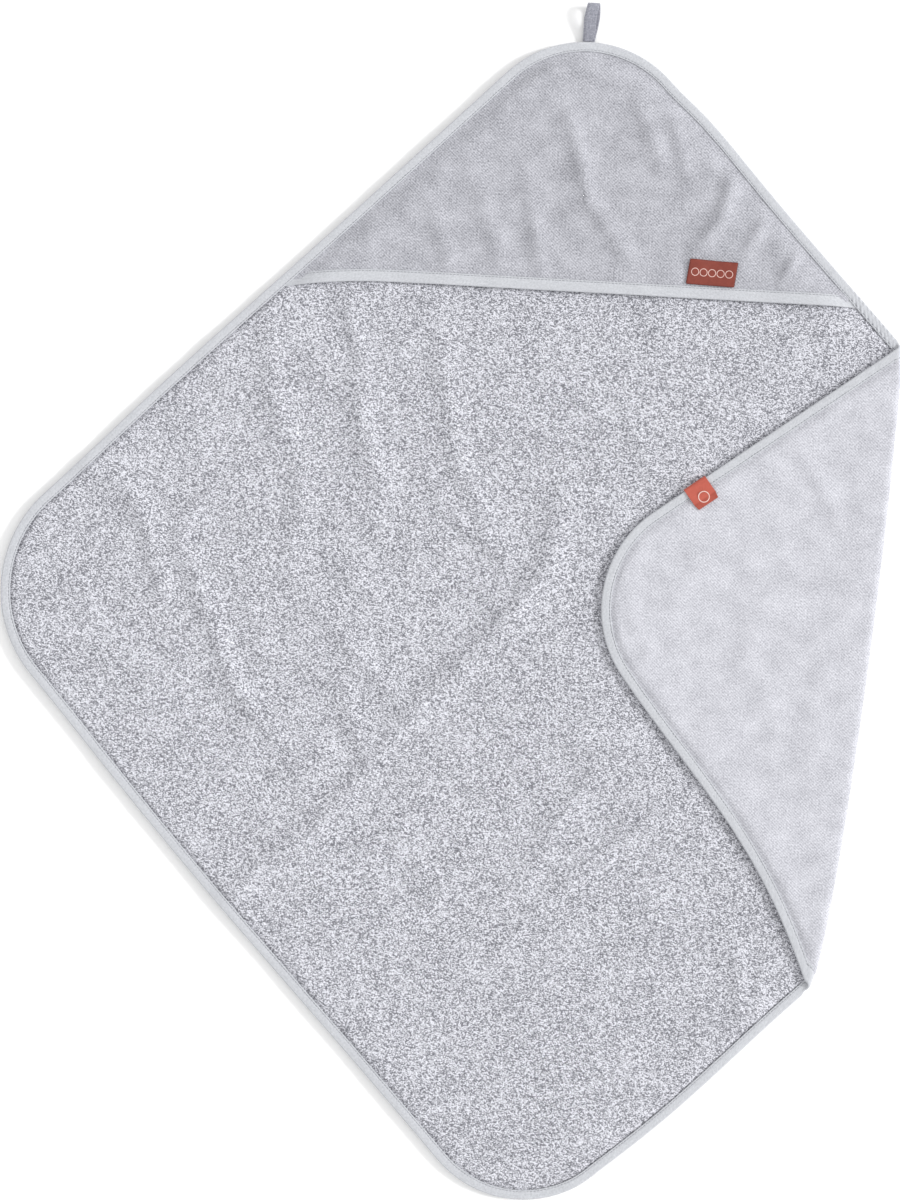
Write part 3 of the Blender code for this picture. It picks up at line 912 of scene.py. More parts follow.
@dataclass
class FoldedLay(Lay):
    """The corner folded over the lying cloth: a round bend along the fold and the laid flap.

    Flat points outside the fold's straight line lie in the bend: its reach is all the way round.

    Attributes:
        pattern: The towel's pattern.
        table: How the cloth below lies.
        middle: Height of the bend's middle.
        bow: How far the bend bows out between its ends.
        gape: How far the flap's free edge stands off the cloth below.
        relief: The most that its waves and creases stand up.
        sink: How far it sinks onto the cloth below between them.
        reach: Width of the bend in flat points.
    """

    pattern: Pattern
    table: TableLay
    middle: float = 0.0053
    reach: float = 0.024
    bow: float = 0.0117
    gape: float = 0.0014
    relief: float = 0.0030
    sink: float = 0.0016
    edge: Array = field(init=False)

    def __post_init__(self) -> None:
        """Keeps the flap's edge, which its waves follow."""
        self.edge = self.pattern.flap.at(0.0)

    def depth(self, upwards: Array) -> Array:
        """How far the bend stands out of the fold's straight line."""
        share = np.clip(upwards / self.pattern.fold_length, 0.0, 1.0)
        return self.pattern.fold_round + self.bow * np.sin(math.pi * share**0.75) ** 0.6

    def girth(self, upwards: Array) -> Array:
        """Length of the cloth round the bend."""
        radius = np.minimum(self.depth(upwards), self.middle)
        return 2 * (self.depth(upwards) - radius) + math.pi * radius

    def rise(self, flat: Array) -> Array:
        """How far the flap's waves lift it.

        Args:
            flat: The flat points.

        Returns:
            The lift at each, below nought where it sinks.
        """
        away, which = distance(flat, self.edge)
        share = which / len(self.edge)
        waves = 1.3 * np.maximum(heights(FLAP_CREASES, flat), 0.0)
        free = ease(0.0, 0.12, share) * (1.0 - ease(0.93, 1.0, share)) * (1.0 + 0.5 * ease(0.6, 0.85, share))
        waves += self.gape * free * (1.0 - ease(0.0, 0.055, away))
        ruck = Swell(0.011, 11).at(np.column_stack([which * self.pattern.flap.pitch, 0 * away]))
        near_tab = np.exp(-((share - 0.28) / 0.05) ** 2)
        waves += 0.0006 * (1.0 + ruck) * np.exp(-away / 0.016) * (1.0 - near_tab)
        waves += 0.0006 * (1.0 + Swell(0.030, 12, 60.0, 1.8).at(flat))
        waves = self.relief * np.tanh(waves / self.relief) - self.sink
        waves = np.maximum(waves, self.table.rise(flat) - 0.0019)
        return waves * ease(0.0, 0.045, -self.pattern.outwards(flat))

    def place(self, flat: Array, above: Array) -> Array:
        """The place of each flat point, this far above the smooth back.

        Args:
            flat: The flat points.
            above: Their heights above the smooth back.

        Returns:
            Their places in space.
        """
        out, up = self.pattern.outwards(flat), self.pattern.upwards(flat)
        out = np.where(out > 0, out * self.girth(up) / self.reach, out)
        depth = self.depth(up)
        radius = np.minimum(depth, self.middle)
        run = depth - radius
        past = np.maximum(out, 0.0) - run
        angle = np.clip(math.pi / 2 - past / radius, -math.pi / 2, math.pi / 2)
        over = np.clip(past - math.pi * radius, 0.0, None)
        beside = np.where(past < 0, np.minimum(out, run), run - over)
        beside = beside + np.where(past > 0, (radius - 0.9 * above) * np.cos(angle), 0.0)
        height = self.middle + (self.middle - above) * np.sin(angle)
        spot = self.pattern.line_foot + np.outer(up, self.pattern.along) + np.outer(beside, self.pattern.out)
        lifted = np.where(out < 0, self.rise(flat), 0.0)
        return np.column_stack([spot + self.table.shift, height + lifted])

    def path(self, inset: float) -> Array:
        """The folded edge moved in by inset: up round the bend, round the flap and down again.

        Args:
            inset: How far inside the edge.

        Returns:
            The flat points.
        """
        flap, towel = self.pattern.flap.at(inset), self.pattern.towel.at(inset)
        ends = []
        for high, low in ((flap[0], towel[0]), (flap[-1], towel[-1])):
            share = np.linspace(1.0, 0.0, 23)[:-1]
            up = self.pattern.upwards(np.array([high, low]))
            along = up[0] + (up[1] - up[0]) * share
            spots = np.outer(along, self.pattern.along) + np.outer(share * self.reach, self.pattern.out)
            ends.append(self.pattern.line_foot + spots)
        return np.vstack([ends[0], flap, ends[1][::-1]])

    def bend(self, inset: float, share: float, pitch: float = 0.0045) -> Array:
        """Points along the bend, at a share of the way round it, from its foot up.

        Args:
            inset: How far inside the edge its two ends stop.
            share: The share of the way round.
            pitch: From one point to the next.

        Returns:
            The flat points.
        """
        ends = self.pattern.upwards(np.vstack([e[[-1, 0]] for e in (self.pattern.flap.at(inset), self.path(inset))]))
        low, high = ends[:2] + (ends[2:] - ends[:2]) * share
        up = np.linspace(low, high, round((high - low) / pitch) + 1)[1:-1]
        return self.pattern.line_foot + np.outer(up, self.pattern.along) + share * self.reach * self.pattern.out

    def chart(self, flat: Array) -> Array:
        """The flat points' places in the flat map, the bend at its true width.

        Args:
            flat: The flat points.

        Returns:
            Their places in the map.
        """
        out, up = self.pattern.outwards(flat), self.pattern.upwards(flat)
        wider = np.where(out > 0, out * (self.girth(up) / self.reach - 1.0), 0.0)
        return flat + np.outer(wider, self.pattern.out)


@dataclass
class HoodLay(Lay):
    """The hood's cloth, terry side down, sewn into the edge binding along its two sides.

    Attributes:
        pattern: The towel's pattern.
        table: How the cloth below lies.
        seam_height: Height of the hood's underside in the seam.
        slope: How far from the edge it has risen to its full height.
    """

    pattern: Pattern
    table: TableLay
    seam_height: float = 0.0026
    slope: float = 0.030
    edge: Array = field(init=False)

    def __post_init__(self) -> None:
        """Keeps the sewn edge, which the height follows."""
        self.edge = self.pattern.towel.at(0.0)

    def seat(self, away: Array) -> Array:
        """Height of the hood's underside at a distance from the edge."""
        rise = ease(BINDING_WIDTH, self.slope, away)
        return self.seam_height + (HOOD_BOTTOM - self.seam_height) * rise

    def place(self, flat: Array, above: Array) -> Array:
        """The place of each flat point, this far below the smooth outer side.

        Args:
            flat: The flat points.
            above: Their depths below the outer side.

        Returns:
            Their places in space.
        """
        away, _ = distance(flat, self.edge)
        thin = 0.30 + 0.70 * ease(0.0080, 0.0200, away)
        waves = 1.6 * np.maximum(heights(HOOD_CREASES, flat), 0.0)
        waves += 0.0009 * (1.0 + Swell(0.026, 21, 75.0, 2.2).at(flat)) + 0.0003 * Swell(0.011, 25).at(flat)
        right = flat[:, 0] > self.pattern.parting(flat[:, 1])
        drawn = np.where(right, Swell(0.0085, 22, 44.0, 4.0).at(flat), Swell(0.0085, 23, -44.5, 4.0).at(flat))
        waves += 0.0006 * (1.0 + drawn) * np.exp(-away / 0.020)
        above_hem = self.pattern.above_hem(flat)
        gathered = Swell(0.0085, 24, 80.0, 4.0).at(flat) * ease(HEM_WIDTH - 0.002, HEM_WIDTH + 0.005, above_hem)
        waves += 0.0005 * (1.0 + gathered) * np.exp(-np.maximum(above_hem, 0.0) / 0.024)
        height = self.seat(away) + (HOOD_CLOTH - above) * thin + waves * ease(0.0080, 0.0260, away)
        return np.column_stack([flat + self.table.shift, self.table.rise(flat) + height])


# Finishes
class Graph:
    """Adds and links the nodes of one tree."""

    def __init__(self, tree: Tree) -> None:
        """Starts on a tree."""
        self.tree = tree

    def add(self, kind: str, inputs: dict | None = None, **settings: object) -> Node:
        """Adds a node.

        Args:
            kind: Its type.
            inputs: A value or another node's socket for each named or numbered input.
            **settings: The node's own settings.

        Returns:
            The node.
        """
        node = self.tree.nodes.new(kind)
        for key, value in settings.items():
            setattr(node, key, value)
        for key, value in (inputs or {}).items():
            if isinstance(value, Socket):
                self.link(value, node.inputs[key])
            else:
                node.inputs[key].default_value = value
        return node

    def link(self, source: Socket, target: Socket) -> None:
        """Links one node's output to another's input."""
        self.tree.links.new(source, target)

    def math(self, operation: str, *values: Value, clamp: bool = False) -> Socket:
        """The result of a Math node on these values."""
        inputs = dict(enumerate(values))
        return self.add("ShaderNodeMath", inputs, operation=operation, use_clamp=clamp).outputs[0]

    def mix(self, share: Value, low: Value, high: Value) -> Socket:
        """A colour between low and high."""
        return self.add("ShaderNodeMix", {0: share, 6: low, 7: high}, data_type="RGBA").outputs[2]


def new_group(name: str, inputs: dict[str, tuple], outputs: Sequence[str]) -> tuple[Graph, dict, dict]:
    """A shader node group.

    Args:
        name: Its name.
        inputs: The type and the first value of each input.
        outputs: Names of its outputs, all of them values.

    Returns:
        Its graph, its input sockets and the sockets that its outputs take.
    """
    tree = bpy.data.node_groups.new(name, "ShaderNodeTree")
    for key, (kind, value) in inputs.items():
        socket = tree.interface.new_socket(key, in_out="INPUT", socket_type=kind)
        if value is not None:
            socket.default_value = value
    for key in outputs:
        tree.interface.new_socket(key, in_out="OUTPUT", socket_type="NodeSocketFloat")
    graph = Graph(tree)
    start, end = graph.add("NodeGroupInput"), graph.add("NodeGroupOutput")
    return graph, {key: start.outputs[key] for key in inputs}, {key: end.inputs[key] for key in outputs}


def loops_group() -> Tree:
    """Terry loops: a speckle of colour for each loop, random in tone with painted shade (loop tops lighter, the gaps
    between loops darker), and the loops' height.

    Returns:
        The group.
    """
    floats = {"Size": ("NodeSocketFloat", 0.0008), "Vector": ("NodeSocketVector", None)}
    graph, given, out = new_group("terry_loops", floats, ["Fleck", "Height"])
    per_metre = graph.math("DIVIDE", 1.0, given["Size"])
    turned = graph.add(
        "ShaderNodeMapping", {"Vector": given["Vector"], "Rotation": (0.0, 0.0, 0.79), "Scale": (0.72, 1.0, 1.0)}
    ).outputs[0]
    wobble = graph.add("ShaderNodeTexNoise", {"Vector": turned, "Scale": 1000.0, "Detail": 1.0})
    pushed = graph.add(
        "ShaderNodeVectorMath", {0: wobble.outputs["Color"], 1: (0.5, 0.5, 0.5)}, operation="SUBTRACT"
    )
    scaled = graph.add("ShaderNodeVectorMath", {0: pushed.outputs[0], "Scale": 0.0006}, operation="SCALE")
    bent = graph.add("ShaderNodeVectorMath", {0: turned, 1: scaled.outputs[0]}, operation="ADD").outputs[0]
    cells = graph.add("ShaderNodeTexVoronoi", {"Vector": bent, "Scale": per_metre})
    split = graph.add("ShaderNodeSeparateColor", {0: cells.outputs["Color"]})
    fine_scale = graph.math("MULTIPLY", per_metre, 1.3)
    fine = graph.add("ShaderNodeTexNoise", {"Vector": turned, "Scale": fine_scale, "Detail": 2.0})
    height = graph.math("SUBTRACT", 1.0, graph.math("MULTIPLY", cells.outputs["Distance"], 1.15))
    blend = graph.math("MULTIPLY", split.outputs[0], 0.55)
    # Painted shade: the loop's height makes its top lighter and the gaps between loops darker.
    blend = graph.math("ADD", blend, graph.math("MULTIPLY", height, 0.30))
    blend = graph.math("ADD", blend, graph.math("MULTIPLY", fine.outputs[0], 0.50))
    graph.link(graph.math("SUBTRACT", blend, 0.20, clamp=True), out["Fleck"])
    rough = graph.math("MULTIPLY", fine.outputs[0], 0.5)
    graph.link(graph.math("ADD", height, rough), out["Height"])
    return graph.tree


def twill_group() -> Tree:
    """Slanting ribs of a fine weave, crossed by a finer thread.

    Returns:
        The group.
    """
    inputs = {
        "Vector": ("NodeSocketVector", None),
        "Pitch": ("NodeSocketFloat", 0.0012),
        "Turn": ("NodeSocketFloat", 0.0),
        "Waver": ("NodeSocketFloat", 0.0004),
    }
    graph, given, out = new_group("twill_ribs", inputs, ["Rib", "Height"])
    turn = graph.add("ShaderNodeCombineXYZ", {2: given["Turn"]}).outputs[0]
    vector = graph.add("ShaderNodeMapping", {"Vector": given["Vector"], "Rotation": turn}).outputs[0]
    noise = graph.add("ShaderNodeTexNoise", {"Vector": vector, "Scale": 190.0, "Detail": 3.0})
    split = graph.add("ShaderNodeSeparateXYZ", {0: vector})
    waver = graph.math("MULTIPLY", graph.math("SUBTRACT", noise.outputs[0], 0.5), given["Waver"])
    across = graph.math("DIVIDE", graph.math("ADD", split.outputs[0], waver), given["Pitch"])
    rib = graph.math("SINE", graph.math("MULTIPLY", across, 2 * math.pi))
    along = graph.math("DIVIDE", split.outputs[1], given["Pitch"])
    slub = graph.math("SINE", graph.math("MULTIPLY", along, 1.7 * math.pi))
    weave = graph.math("ADD", graph.math("MULTIPLY", rib, 0.36), graph.math("MULTIPLY", slub, 0.14))
    height = graph.math("ADD", weave, 0.5)
    grain = graph.add("ShaderNodeTexNoise", {"Vector": given["Vector"], "Scale": 640.0, "Detail": 2.0})
    speck = graph.math("MULTIPLY", graph.math("SUBTRACT", grain.outputs[0], 0.5), 2.6)
    mixed = graph.math("ADD", graph.math("MULTIPLY", height, 0.55), graph.math("ADD", speck, 0.225))
    graph.link(mixed, out["Rib"])
    graph.link(height, out["Height"])
    return graph.tree


def blotch_group() -> Tree:
    """Soft uneven tone, as washed cloth and leather have.

    Returns:
        The group.
    """
    inputs = {"Vector": ("NodeSocketVector", None), "Size": ("NodeSocketFloat", 0.03)}
    graph, given, out = new_group("uneven_tone", inputs, ["Tone"])
    per_metre = graph.math("DIVIDE", 1.0, given["Size"])
    noise = graph.add(
        "ShaderNodeTexNoise", {"Vector": given["Vector"], "Scale": per_metre, "Detail": 4.0, "Roughness": 0.6}
    )
    sharper = graph.math("MULTIPLY", graph.math("SUBTRACT", noise.outputs[0], 0.5), 2.2)
    graph.link(graph.math("ADD", sharper, 0.5, clamp=True), out["Tone"])
    return graph.tree


@dataclass(frozen=True)
class Finish:
    """What every finish has.

    Attributes:
        name: The material's name.
        dark: Its darkest tone.
        light: Its lightest tone.
        roughness: How matt it is.
        sheen: How much light its nap catches at a slant.
    """

    name: str
    dark: Colour
    light: Colour
    roughness: float
    sheen: float = 0.0

    def material(self, groups: Groups) -> Material:
        """The finish as a material.

        Args:
            groups: The shared groups, by name.

        Returns:
            The material.
        """
        material = bpy.data.materials.new(self.name)
        material.use_nodes = True
        shader = material.node_tree.nodes["Principled BSDF"]
        shader.inputs["Roughness"].default_value = self.roughness
        shader.inputs["Sheen Weight"].default_value = self.sheen
        shader.inputs["Specular IOR Level"].default_value = 0.25
        graph = Graph(material.node_tree)
        flat = graph.add("ShaderNodeUVMap", uv_map=FLAT_MAP).outputs[0]
        self.paint(graph, shader, flat, groups)
        return material

    def paint(self, graph: Graph, shader: Node, flat: Socket, groups: Groups) -> None:
        """Colours and roughens the shader over the flat map, with the shared groups."""
        raise NotImplementedError

    def tone(self, graph: Graph, groups: Groups, place: Socket, size: float) -> Socket:
        """The uneven tone of patches of this size."""
        return graph.add("ShaderNodeGroup", {"Vector": place, "Size": size}, node_tree=groups["blotch"]).outputs[0]

    def colour(self, graph: Graph, shader: Node, share: Socket) -> None:
        """Colours the shader, this share of the way from the dark tone to the light one."""
        graph.link(graph.mix(share, (*self.dark, 1.0), (*self.light, 1.0)), shader.inputs["Base Color"])

    def bump(self, graph: Graph, shader: Node, height: Socket, depth: float) -> None:
        """Roughens the shader's surface by this height, in metres."""
        bump = graph.add("ShaderNodeBump", {"Height": height, "Distance": depth, "Strength": 1.0})
        graph.link(bump.outputs[0], shader.inputs["Normal"])


@dataclass(frozen=True)
class TerryFinish(Finish):
    """Terry loops, seen from above, their colour a speckle of random tone with the loops' light and shade painted
    in.
    """

    loop: float = 0.0008
    depth: float = 0.0003

    def paint(self, graph: Graph, shader: Node, flat: Socket, groups: Groups) -> None:
        """Colours and roughens the shader over the flat map, with the shared groups."""
        loops = graph.add("ShaderNodeGroup", {"Vector": flat, "Size": self.loop}, node_tree=groups["loops"])
        tone = self.tone(graph, groups, flat, 0.035)
        loop_tone_and_shade = graph.math("ADD", loops.outputs["Fleck"], graph.math("MULTIPLY", tone, 0.08), clamp=True)
        # Stretching the speckle far from the dark tone to the light one paints the loops' light and shade into the
        # colour.
        spread = graph.math("SUBTRACT", graph.math("MULTIPLY", loop_tone_and_shade, 2.8), 0.88, clamp=True)
        self.colour(graph, shader, spread)
        self.bump(graph, shader, loops.outputs["Height"], self.depth)


@dataclass(frozen=True)
class WovenFinish(Finish):
    """A smooth cloth or tape with slanting ribs."""

    pitch: float = 0.0012
    turn: float = 0.0
    depth: float = 0.0001
    patch: float = 0.02
    mottle: float = 0.35

    def paint(self, graph: Graph, shader: Node, flat: Socket, groups: Groups) -> None:
        """Colours and roughens the shader over the flat map, with the shared groups."""
        values = {"Vector": flat, "Pitch": self.pitch, "Turn": self.turn}
        ribs = graph.add("ShaderNodeGroup", values, node_tree=groups["twill"])
        tone = self.tone(graph, groups, flat, self.patch)
        rib = graph.math("MULTIPLY", ribs.outputs["Rib"], 1.0 - self.mottle)
        share = graph.math("ADD", rib, graph.math("MULTIPLY", tone, self.mottle), clamp=True)
        self.colour(graph, shader, share)
        self.bump(graph, shader, ribs.outputs["Height"], self.depth)


@dataclass(frozen=True)
class LeatherFinish(Finish):
    """Matt leather with a fine grain, darker along its cut edges."""

    half: tuple[float, float] = (0.020, 0.010)

    def paint(self, graph: Graph, shader: Node, flat: Socket, groups: Groups) -> None:
        """Colours and roughens the shader over the flat map, with the shared groups."""
        cells = graph.add("ShaderNodeTexVoronoi", {"Vector": flat, "Scale": 2100.0}, feature="SMOOTH_F1")
        tone = self.tone(graph, groups, flat, 0.006)
        split = graph.add("ShaderNodeSeparateXYZ", {0: flat})
        sides = []
        for socket, half in zip(split.outputs, self.half):
            sides.append(graph.math("SUBTRACT", half, graph.math("ABSOLUTE", socket)))
        inwards = graph.math("MINIMUM", *sides)
        edge = graph.math("DIVIDE", inwards, 0.0011, clamp=True)
        share = graph.math("ADD", graph.math("MULTIPLY", tone, 0.45), graph.math("MULTIPLY", edge, 0.55))
        self.colour(graph, shader, share)
        grain = graph.math("ADD", cells.outputs["Distance"], graph.math("MULTIPLY", tone, 0.4))
        self.bump(graph, shader, grain, 0.00012)


@dataclass(frozen=True)
class PlainFinish(Finish):
    """A fine even surface: sewing thread, the pale marks pressed into leather, the table."""

    patch: float = 0.002
    grain: float = 900.0
    depth: float = 0.00004

    def paint(self, graph: Graph, shader: Node, flat: Socket, groups: Groups) -> None:
        """Colours and roughens the shader over the flat map, with the shared groups."""
        place = graph.add("ShaderNodeTexCoord").outputs["Object"]
        self.colour(graph, shader, self.tone(graph, groups, place, self.patch))
        noise = graph.add("ShaderNodeTexNoise", {"Vector": place, "Scale": self.grain, "Detail": 2.0})
        self.bump(graph, shader, noise.outputs[0], self.depth)


class Kind(Enum):
    """The finishes of the towel and its stage."""

    # Terry: tones far apart, to paint the light and shade of its loops into the colour.
    TERRY = TerryFinish("terry_loops", (0.165, 0.167, 0.189), (0.710, 0.714, 0.770), 0.95, 0.15)
    BACK = WovenFinish("smooth_back", (0.325, 0.327, 0.359), (0.665, 0.669, 0.717), 0.90, 0.10, 0.0019, -0.83)
    # The hood's outer side: the smooth back's weave in darker tones, as painted shade of the curved hood.
    HOOD = WovenFinish("hood_back_shaded", (0.200, 0.202, 0.225), (0.565, 0.569, 0.614), 0.90, 0.10, 0.0019, -0.83)
    TAPE = WovenFinish(
        "binding_tape", (0.410, 0.420, 0.446), (0.560, 0.572, 0.602), 0.80, 0.05, 0.0009, 0.785, 0.00006, 0.004, 0.25
    )
    LOOP = WovenFinish(
        "loop_tape", (0.170, 0.173, 0.205), (0.380, 0.385, 0.440), 0.80, 0.05, 0.0009, 0.785, 0.00008, 0.003, 0.30
    )
    # The thread's dark tone is partly its own colour and partly painted shade of the groove along the tape's inner
    # edge.
    THREAD = PlainFinish("sewing_thread", (0.190, 0.196, 0.220), (0.310, 0.317, 0.345), 0.60)
    LABEL = LeatherFinish("label_leather", (0.110, 0.022, 0.016), (0.230, 0.050, 0.034), 0.55, 0.0, (0.0206, 0.0106))
    TAB = LeatherFinish("tab_leather", (0.300, 0.060, 0.040), (0.500, 0.112, 0.078), 0.50, 0.0, (0.0108, 0.0400))
    MARK = PlainFinish("pressed_mark", (0.640, 0.420, 0.380), (0.800, 0.580, 0.530), 0.60)
    TABLE = PlainFinish("pale_table", (0.940, 0.940, 0.940), (0.950, 0.950, 0.950), 0.90, 0.0, 0.5, 3.0, 0.0)


class Wardrobe:
    """Makes each finish once and hands it out."""

    def __init__(self) -> None:
        """Builds the shared groups and all finishes."""
        groups = {"loops": loops_group(), "twill": twill_group(), "blotch": blotch_group()}
        self.made = {kind: kind.value.material(groups) for kind in Kind}

    def get(self, kind: Kind) -> Material:
        """The material of this kind."""
        return self.made[kind]


# Stitches
class StitchTree:
    """Geometry Nodes that set one stitch after another along a line."""

    def __init__(self) -> None:
        """Builds the tree."""
        tree = bpy.data.node_groups.new("stitches", "GeometryNodeTree")
        tree.interface.new_socket("Line", in_out="INPUT", socket_type="NodeSocketGeometry")
        for name, value in (("Pitch", 0.003), ("Length", 0.0024), ("Width", 0.0005)):
            socket = tree.interface.new_socket(name, in_out="INPUT", socket_type="NodeSocketFloat")
            socket.default_value = value
        tree.interface.new_socket("Thread", in_out="INPUT", socket_type="NodeSocketMaterial")
        tree.interface.new_socket("Stitches", in_out="OUTPUT", socket_type="NodeSocketGeometry")
        graph = Graph(tree)
        given = graph.add("NodeGroupInput").outputs
        curve = graph.add("GeometryNodeMeshToCurve", {"Mesh": given["Line"]}).outputs[0]
        spots = graph.add("GeometryNodeCurveToPoints", {"Curve": curve, "Length": given["Pitch"]}, mode="LENGTH")
        ball = graph.add("GeometryNodeMeshUVSphere", {"Segments": 6, "Rings": 4, "Radius": 0.5}).outputs[0]
        size = graph.add(
            "ShaderNodeCombineXYZ", {0: given["Length"], 1: given["Width"], 2: given["Width"]}
        ).outputs[0]
        stitch = graph.add("GeometryNodeTransform", {"Geometry": ball, "Scale": size}).outputs[0]
        ahead = graph.add("FunctionNodeAlignRotationToVector", {"Vector": spots.outputs["Tangent"]}, axis="X")
        upright = graph.add(
            "FunctionNodeAlignRotationToVector",
            {"Rotation": ahead.outputs[0], "Vector": (0.0, 0.0, 1.0)},
            axis="Z",
            pivot_axis="X",
        )
        row = graph.add(
            "GeometryNodeInstanceOnPoints",
            {"Points": spots.outputs["Points"], "Instance": stitch, "Rotation": upright.outputs[0]},
        ).outputs[0]
        real = graph.add("GeometryNodeRealizeInstances", {"Geometry": row}).outputs[0]
        dressed = graph.add("GeometryNodeSetMaterial", {"Geometry": real, "Material": given["Thread"]}).outputs[0]
        graph.add("NodeGroupOutput", {0: dressed})
        self.tree = tree

    def sockets(self) -> dict[str, str]:
        """Each input's identifier by its name."""
        items = self.tree.interface.items_tree
        return {item.name: item.identifier for item in items if item.in_out == "INPUT"}


@dataclass
class Stitcher:
    """Sews rows of stitches.

    Attributes:
        tree: The nodes that it sews with.
        thread: The thread's material.
        pitch: From one stitch to the next.
        length: How long a stitch is.
        width: How thick the thread is.
    """

    tree: StitchTree
    thread: Material
    pitch: float = 0.0030
    length: float = 0.0025
    width: float = 0.00055

    def sew(self, name: str, line: Array, pitch: float | None = None) -> Piece:
        """A row of stitches along a line.

        Args:
            name: The piece's name.
            line: The line's points in space.
            pitch: From one stitch to the next, where it isn't the usual one.

        Returns:
            The piece, a plain mesh.
        """
        mesh = bpy.data.meshes.new(name + "_line")
        mesh.from_pydata([tuple(p) for p in line], [(k, k + 1) for k in range(len(line) - 1)], [])
        carrier = put(name + "_line", mesh)
        modifier = carrier.modifiers.new("stitches", "NODES")
        modifier.node_group = self.tree.tree
        keys = self.tree.sockets()
        step = pitch or self.pitch
        modifier[keys["Pitch"]] = step
        modifier[keys["Length"]] = self.length * step / self.pitch
        modifier[keys["Width"]] = self.width
        modifier[keys["Thread"]] = self.thread
        depsgraph = bpy.context.evaluated_depsgraph_get()
        made = bpy.data.meshes.new_from_object(carrier.evaluated_get(depsgraph))
        bpy.data.objects.remove(carrier)
        made.name = name
        made.polygons.foreach_set("use_smooth", np.ones(len(made.polygons), bool))
        return put(name, made)


# Sub-assemblies -------------------------------------------------------------------------------
@dataclass
class Pile:
    """Heights of a cloth's two sides, thin where it is sewn into its binding.

    Attributes:
        full: The terry side's height.
        lip: The terry side's height inside the binding.
        back_lip: The smooth side's height there.
        nub: How much the loops stand up and down.
        seed: Which loops.
    """

    full: float = CLOTH
    lip: float = 0.0034
    back_lip: float = 0.00215
    nub: float = 0.00018
    seed: int = 7

    def terry(self, away: Array) -> Array:
        """The terry side's height at a distance from the edge."""
        loops = np.random.default_rng(self.seed).uniform(-1.0, 1.0, len(away)) * self.nub
        return self.lip + (self.full - self.lip) * ease(0.0086, 0.0118, away) + loops * ease(0.0092, 0.0125, away)

    def smooth(self, away: Array) -> Array:
        """The smooth side's height at a distance from the edge."""
        return self.back_lip * (1.0 - ease(0.0084, 0.0135, away))


def pucker(flat: Array, length: Array, inset: float) -> Array:
    """The small ups and downs of a sewn tape.

    Args:
        flat: The tape's flat points.
        length: Their lengths along it.
        inset: How far they lie inside its outer edge.

    Returns:
        How much higher each point stands.
    """
    small = Swell(0.0050, 31).at(np.column_stack([length, np.full(len(length), inset * 0.25)]))
    broad = Swell(0.0170, 32).at(np.column_stack([length, np.full(len(length), 0.0)]))
    ends = ease(0.0, 0.004, length) * ease(0.0, 0.004, length[-1] - length)
    return (0.00012 * small + 0.00010 * broad) * ends


@dataclass
class Shop:
    """What every sub-assembly works with."""

    pattern: Pattern
    table: TableLay
    folded: FoldedLay
    hood: HoodLay
    wardrobe: Wardrobe
    stitcher: Stitcher

    def dress(self, piece: Piece, slot: str, *nodes: str) -> Piece:
        """Hides the nodes that the piece replaces, and writes it to the log.

        Args:
            piece: The piece.
            slot: Not used.
            *nodes: The nodes that it replaces.

        Returns:
            The same piece.
        """
        if nodes:
            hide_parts(*nodes)
        LOG.info("%s: %d faces", piece.name, len(piece.data.polygons))
        return piece

    def sweep_tape(
        self, name: str, lay: Lay, path_at: Callable[[float], Array], profile: Profile, lift: Lift | None = None
    ) -> Piece:
        """A binding along a path, in the towel's tape."""
        return sweep(name, lay, path_at, profile, self.wardrobe.get(Kind.TAPE), lift)

    def sew_row(self, name: str, lay: Lay, line: Array, above: float) -> Piece:
        """A row of stitches along a flat line on a cloth, this far above its smooth back."""
        return self.stitcher.sew(name, lay.place(line, np.full(len(line), above)))


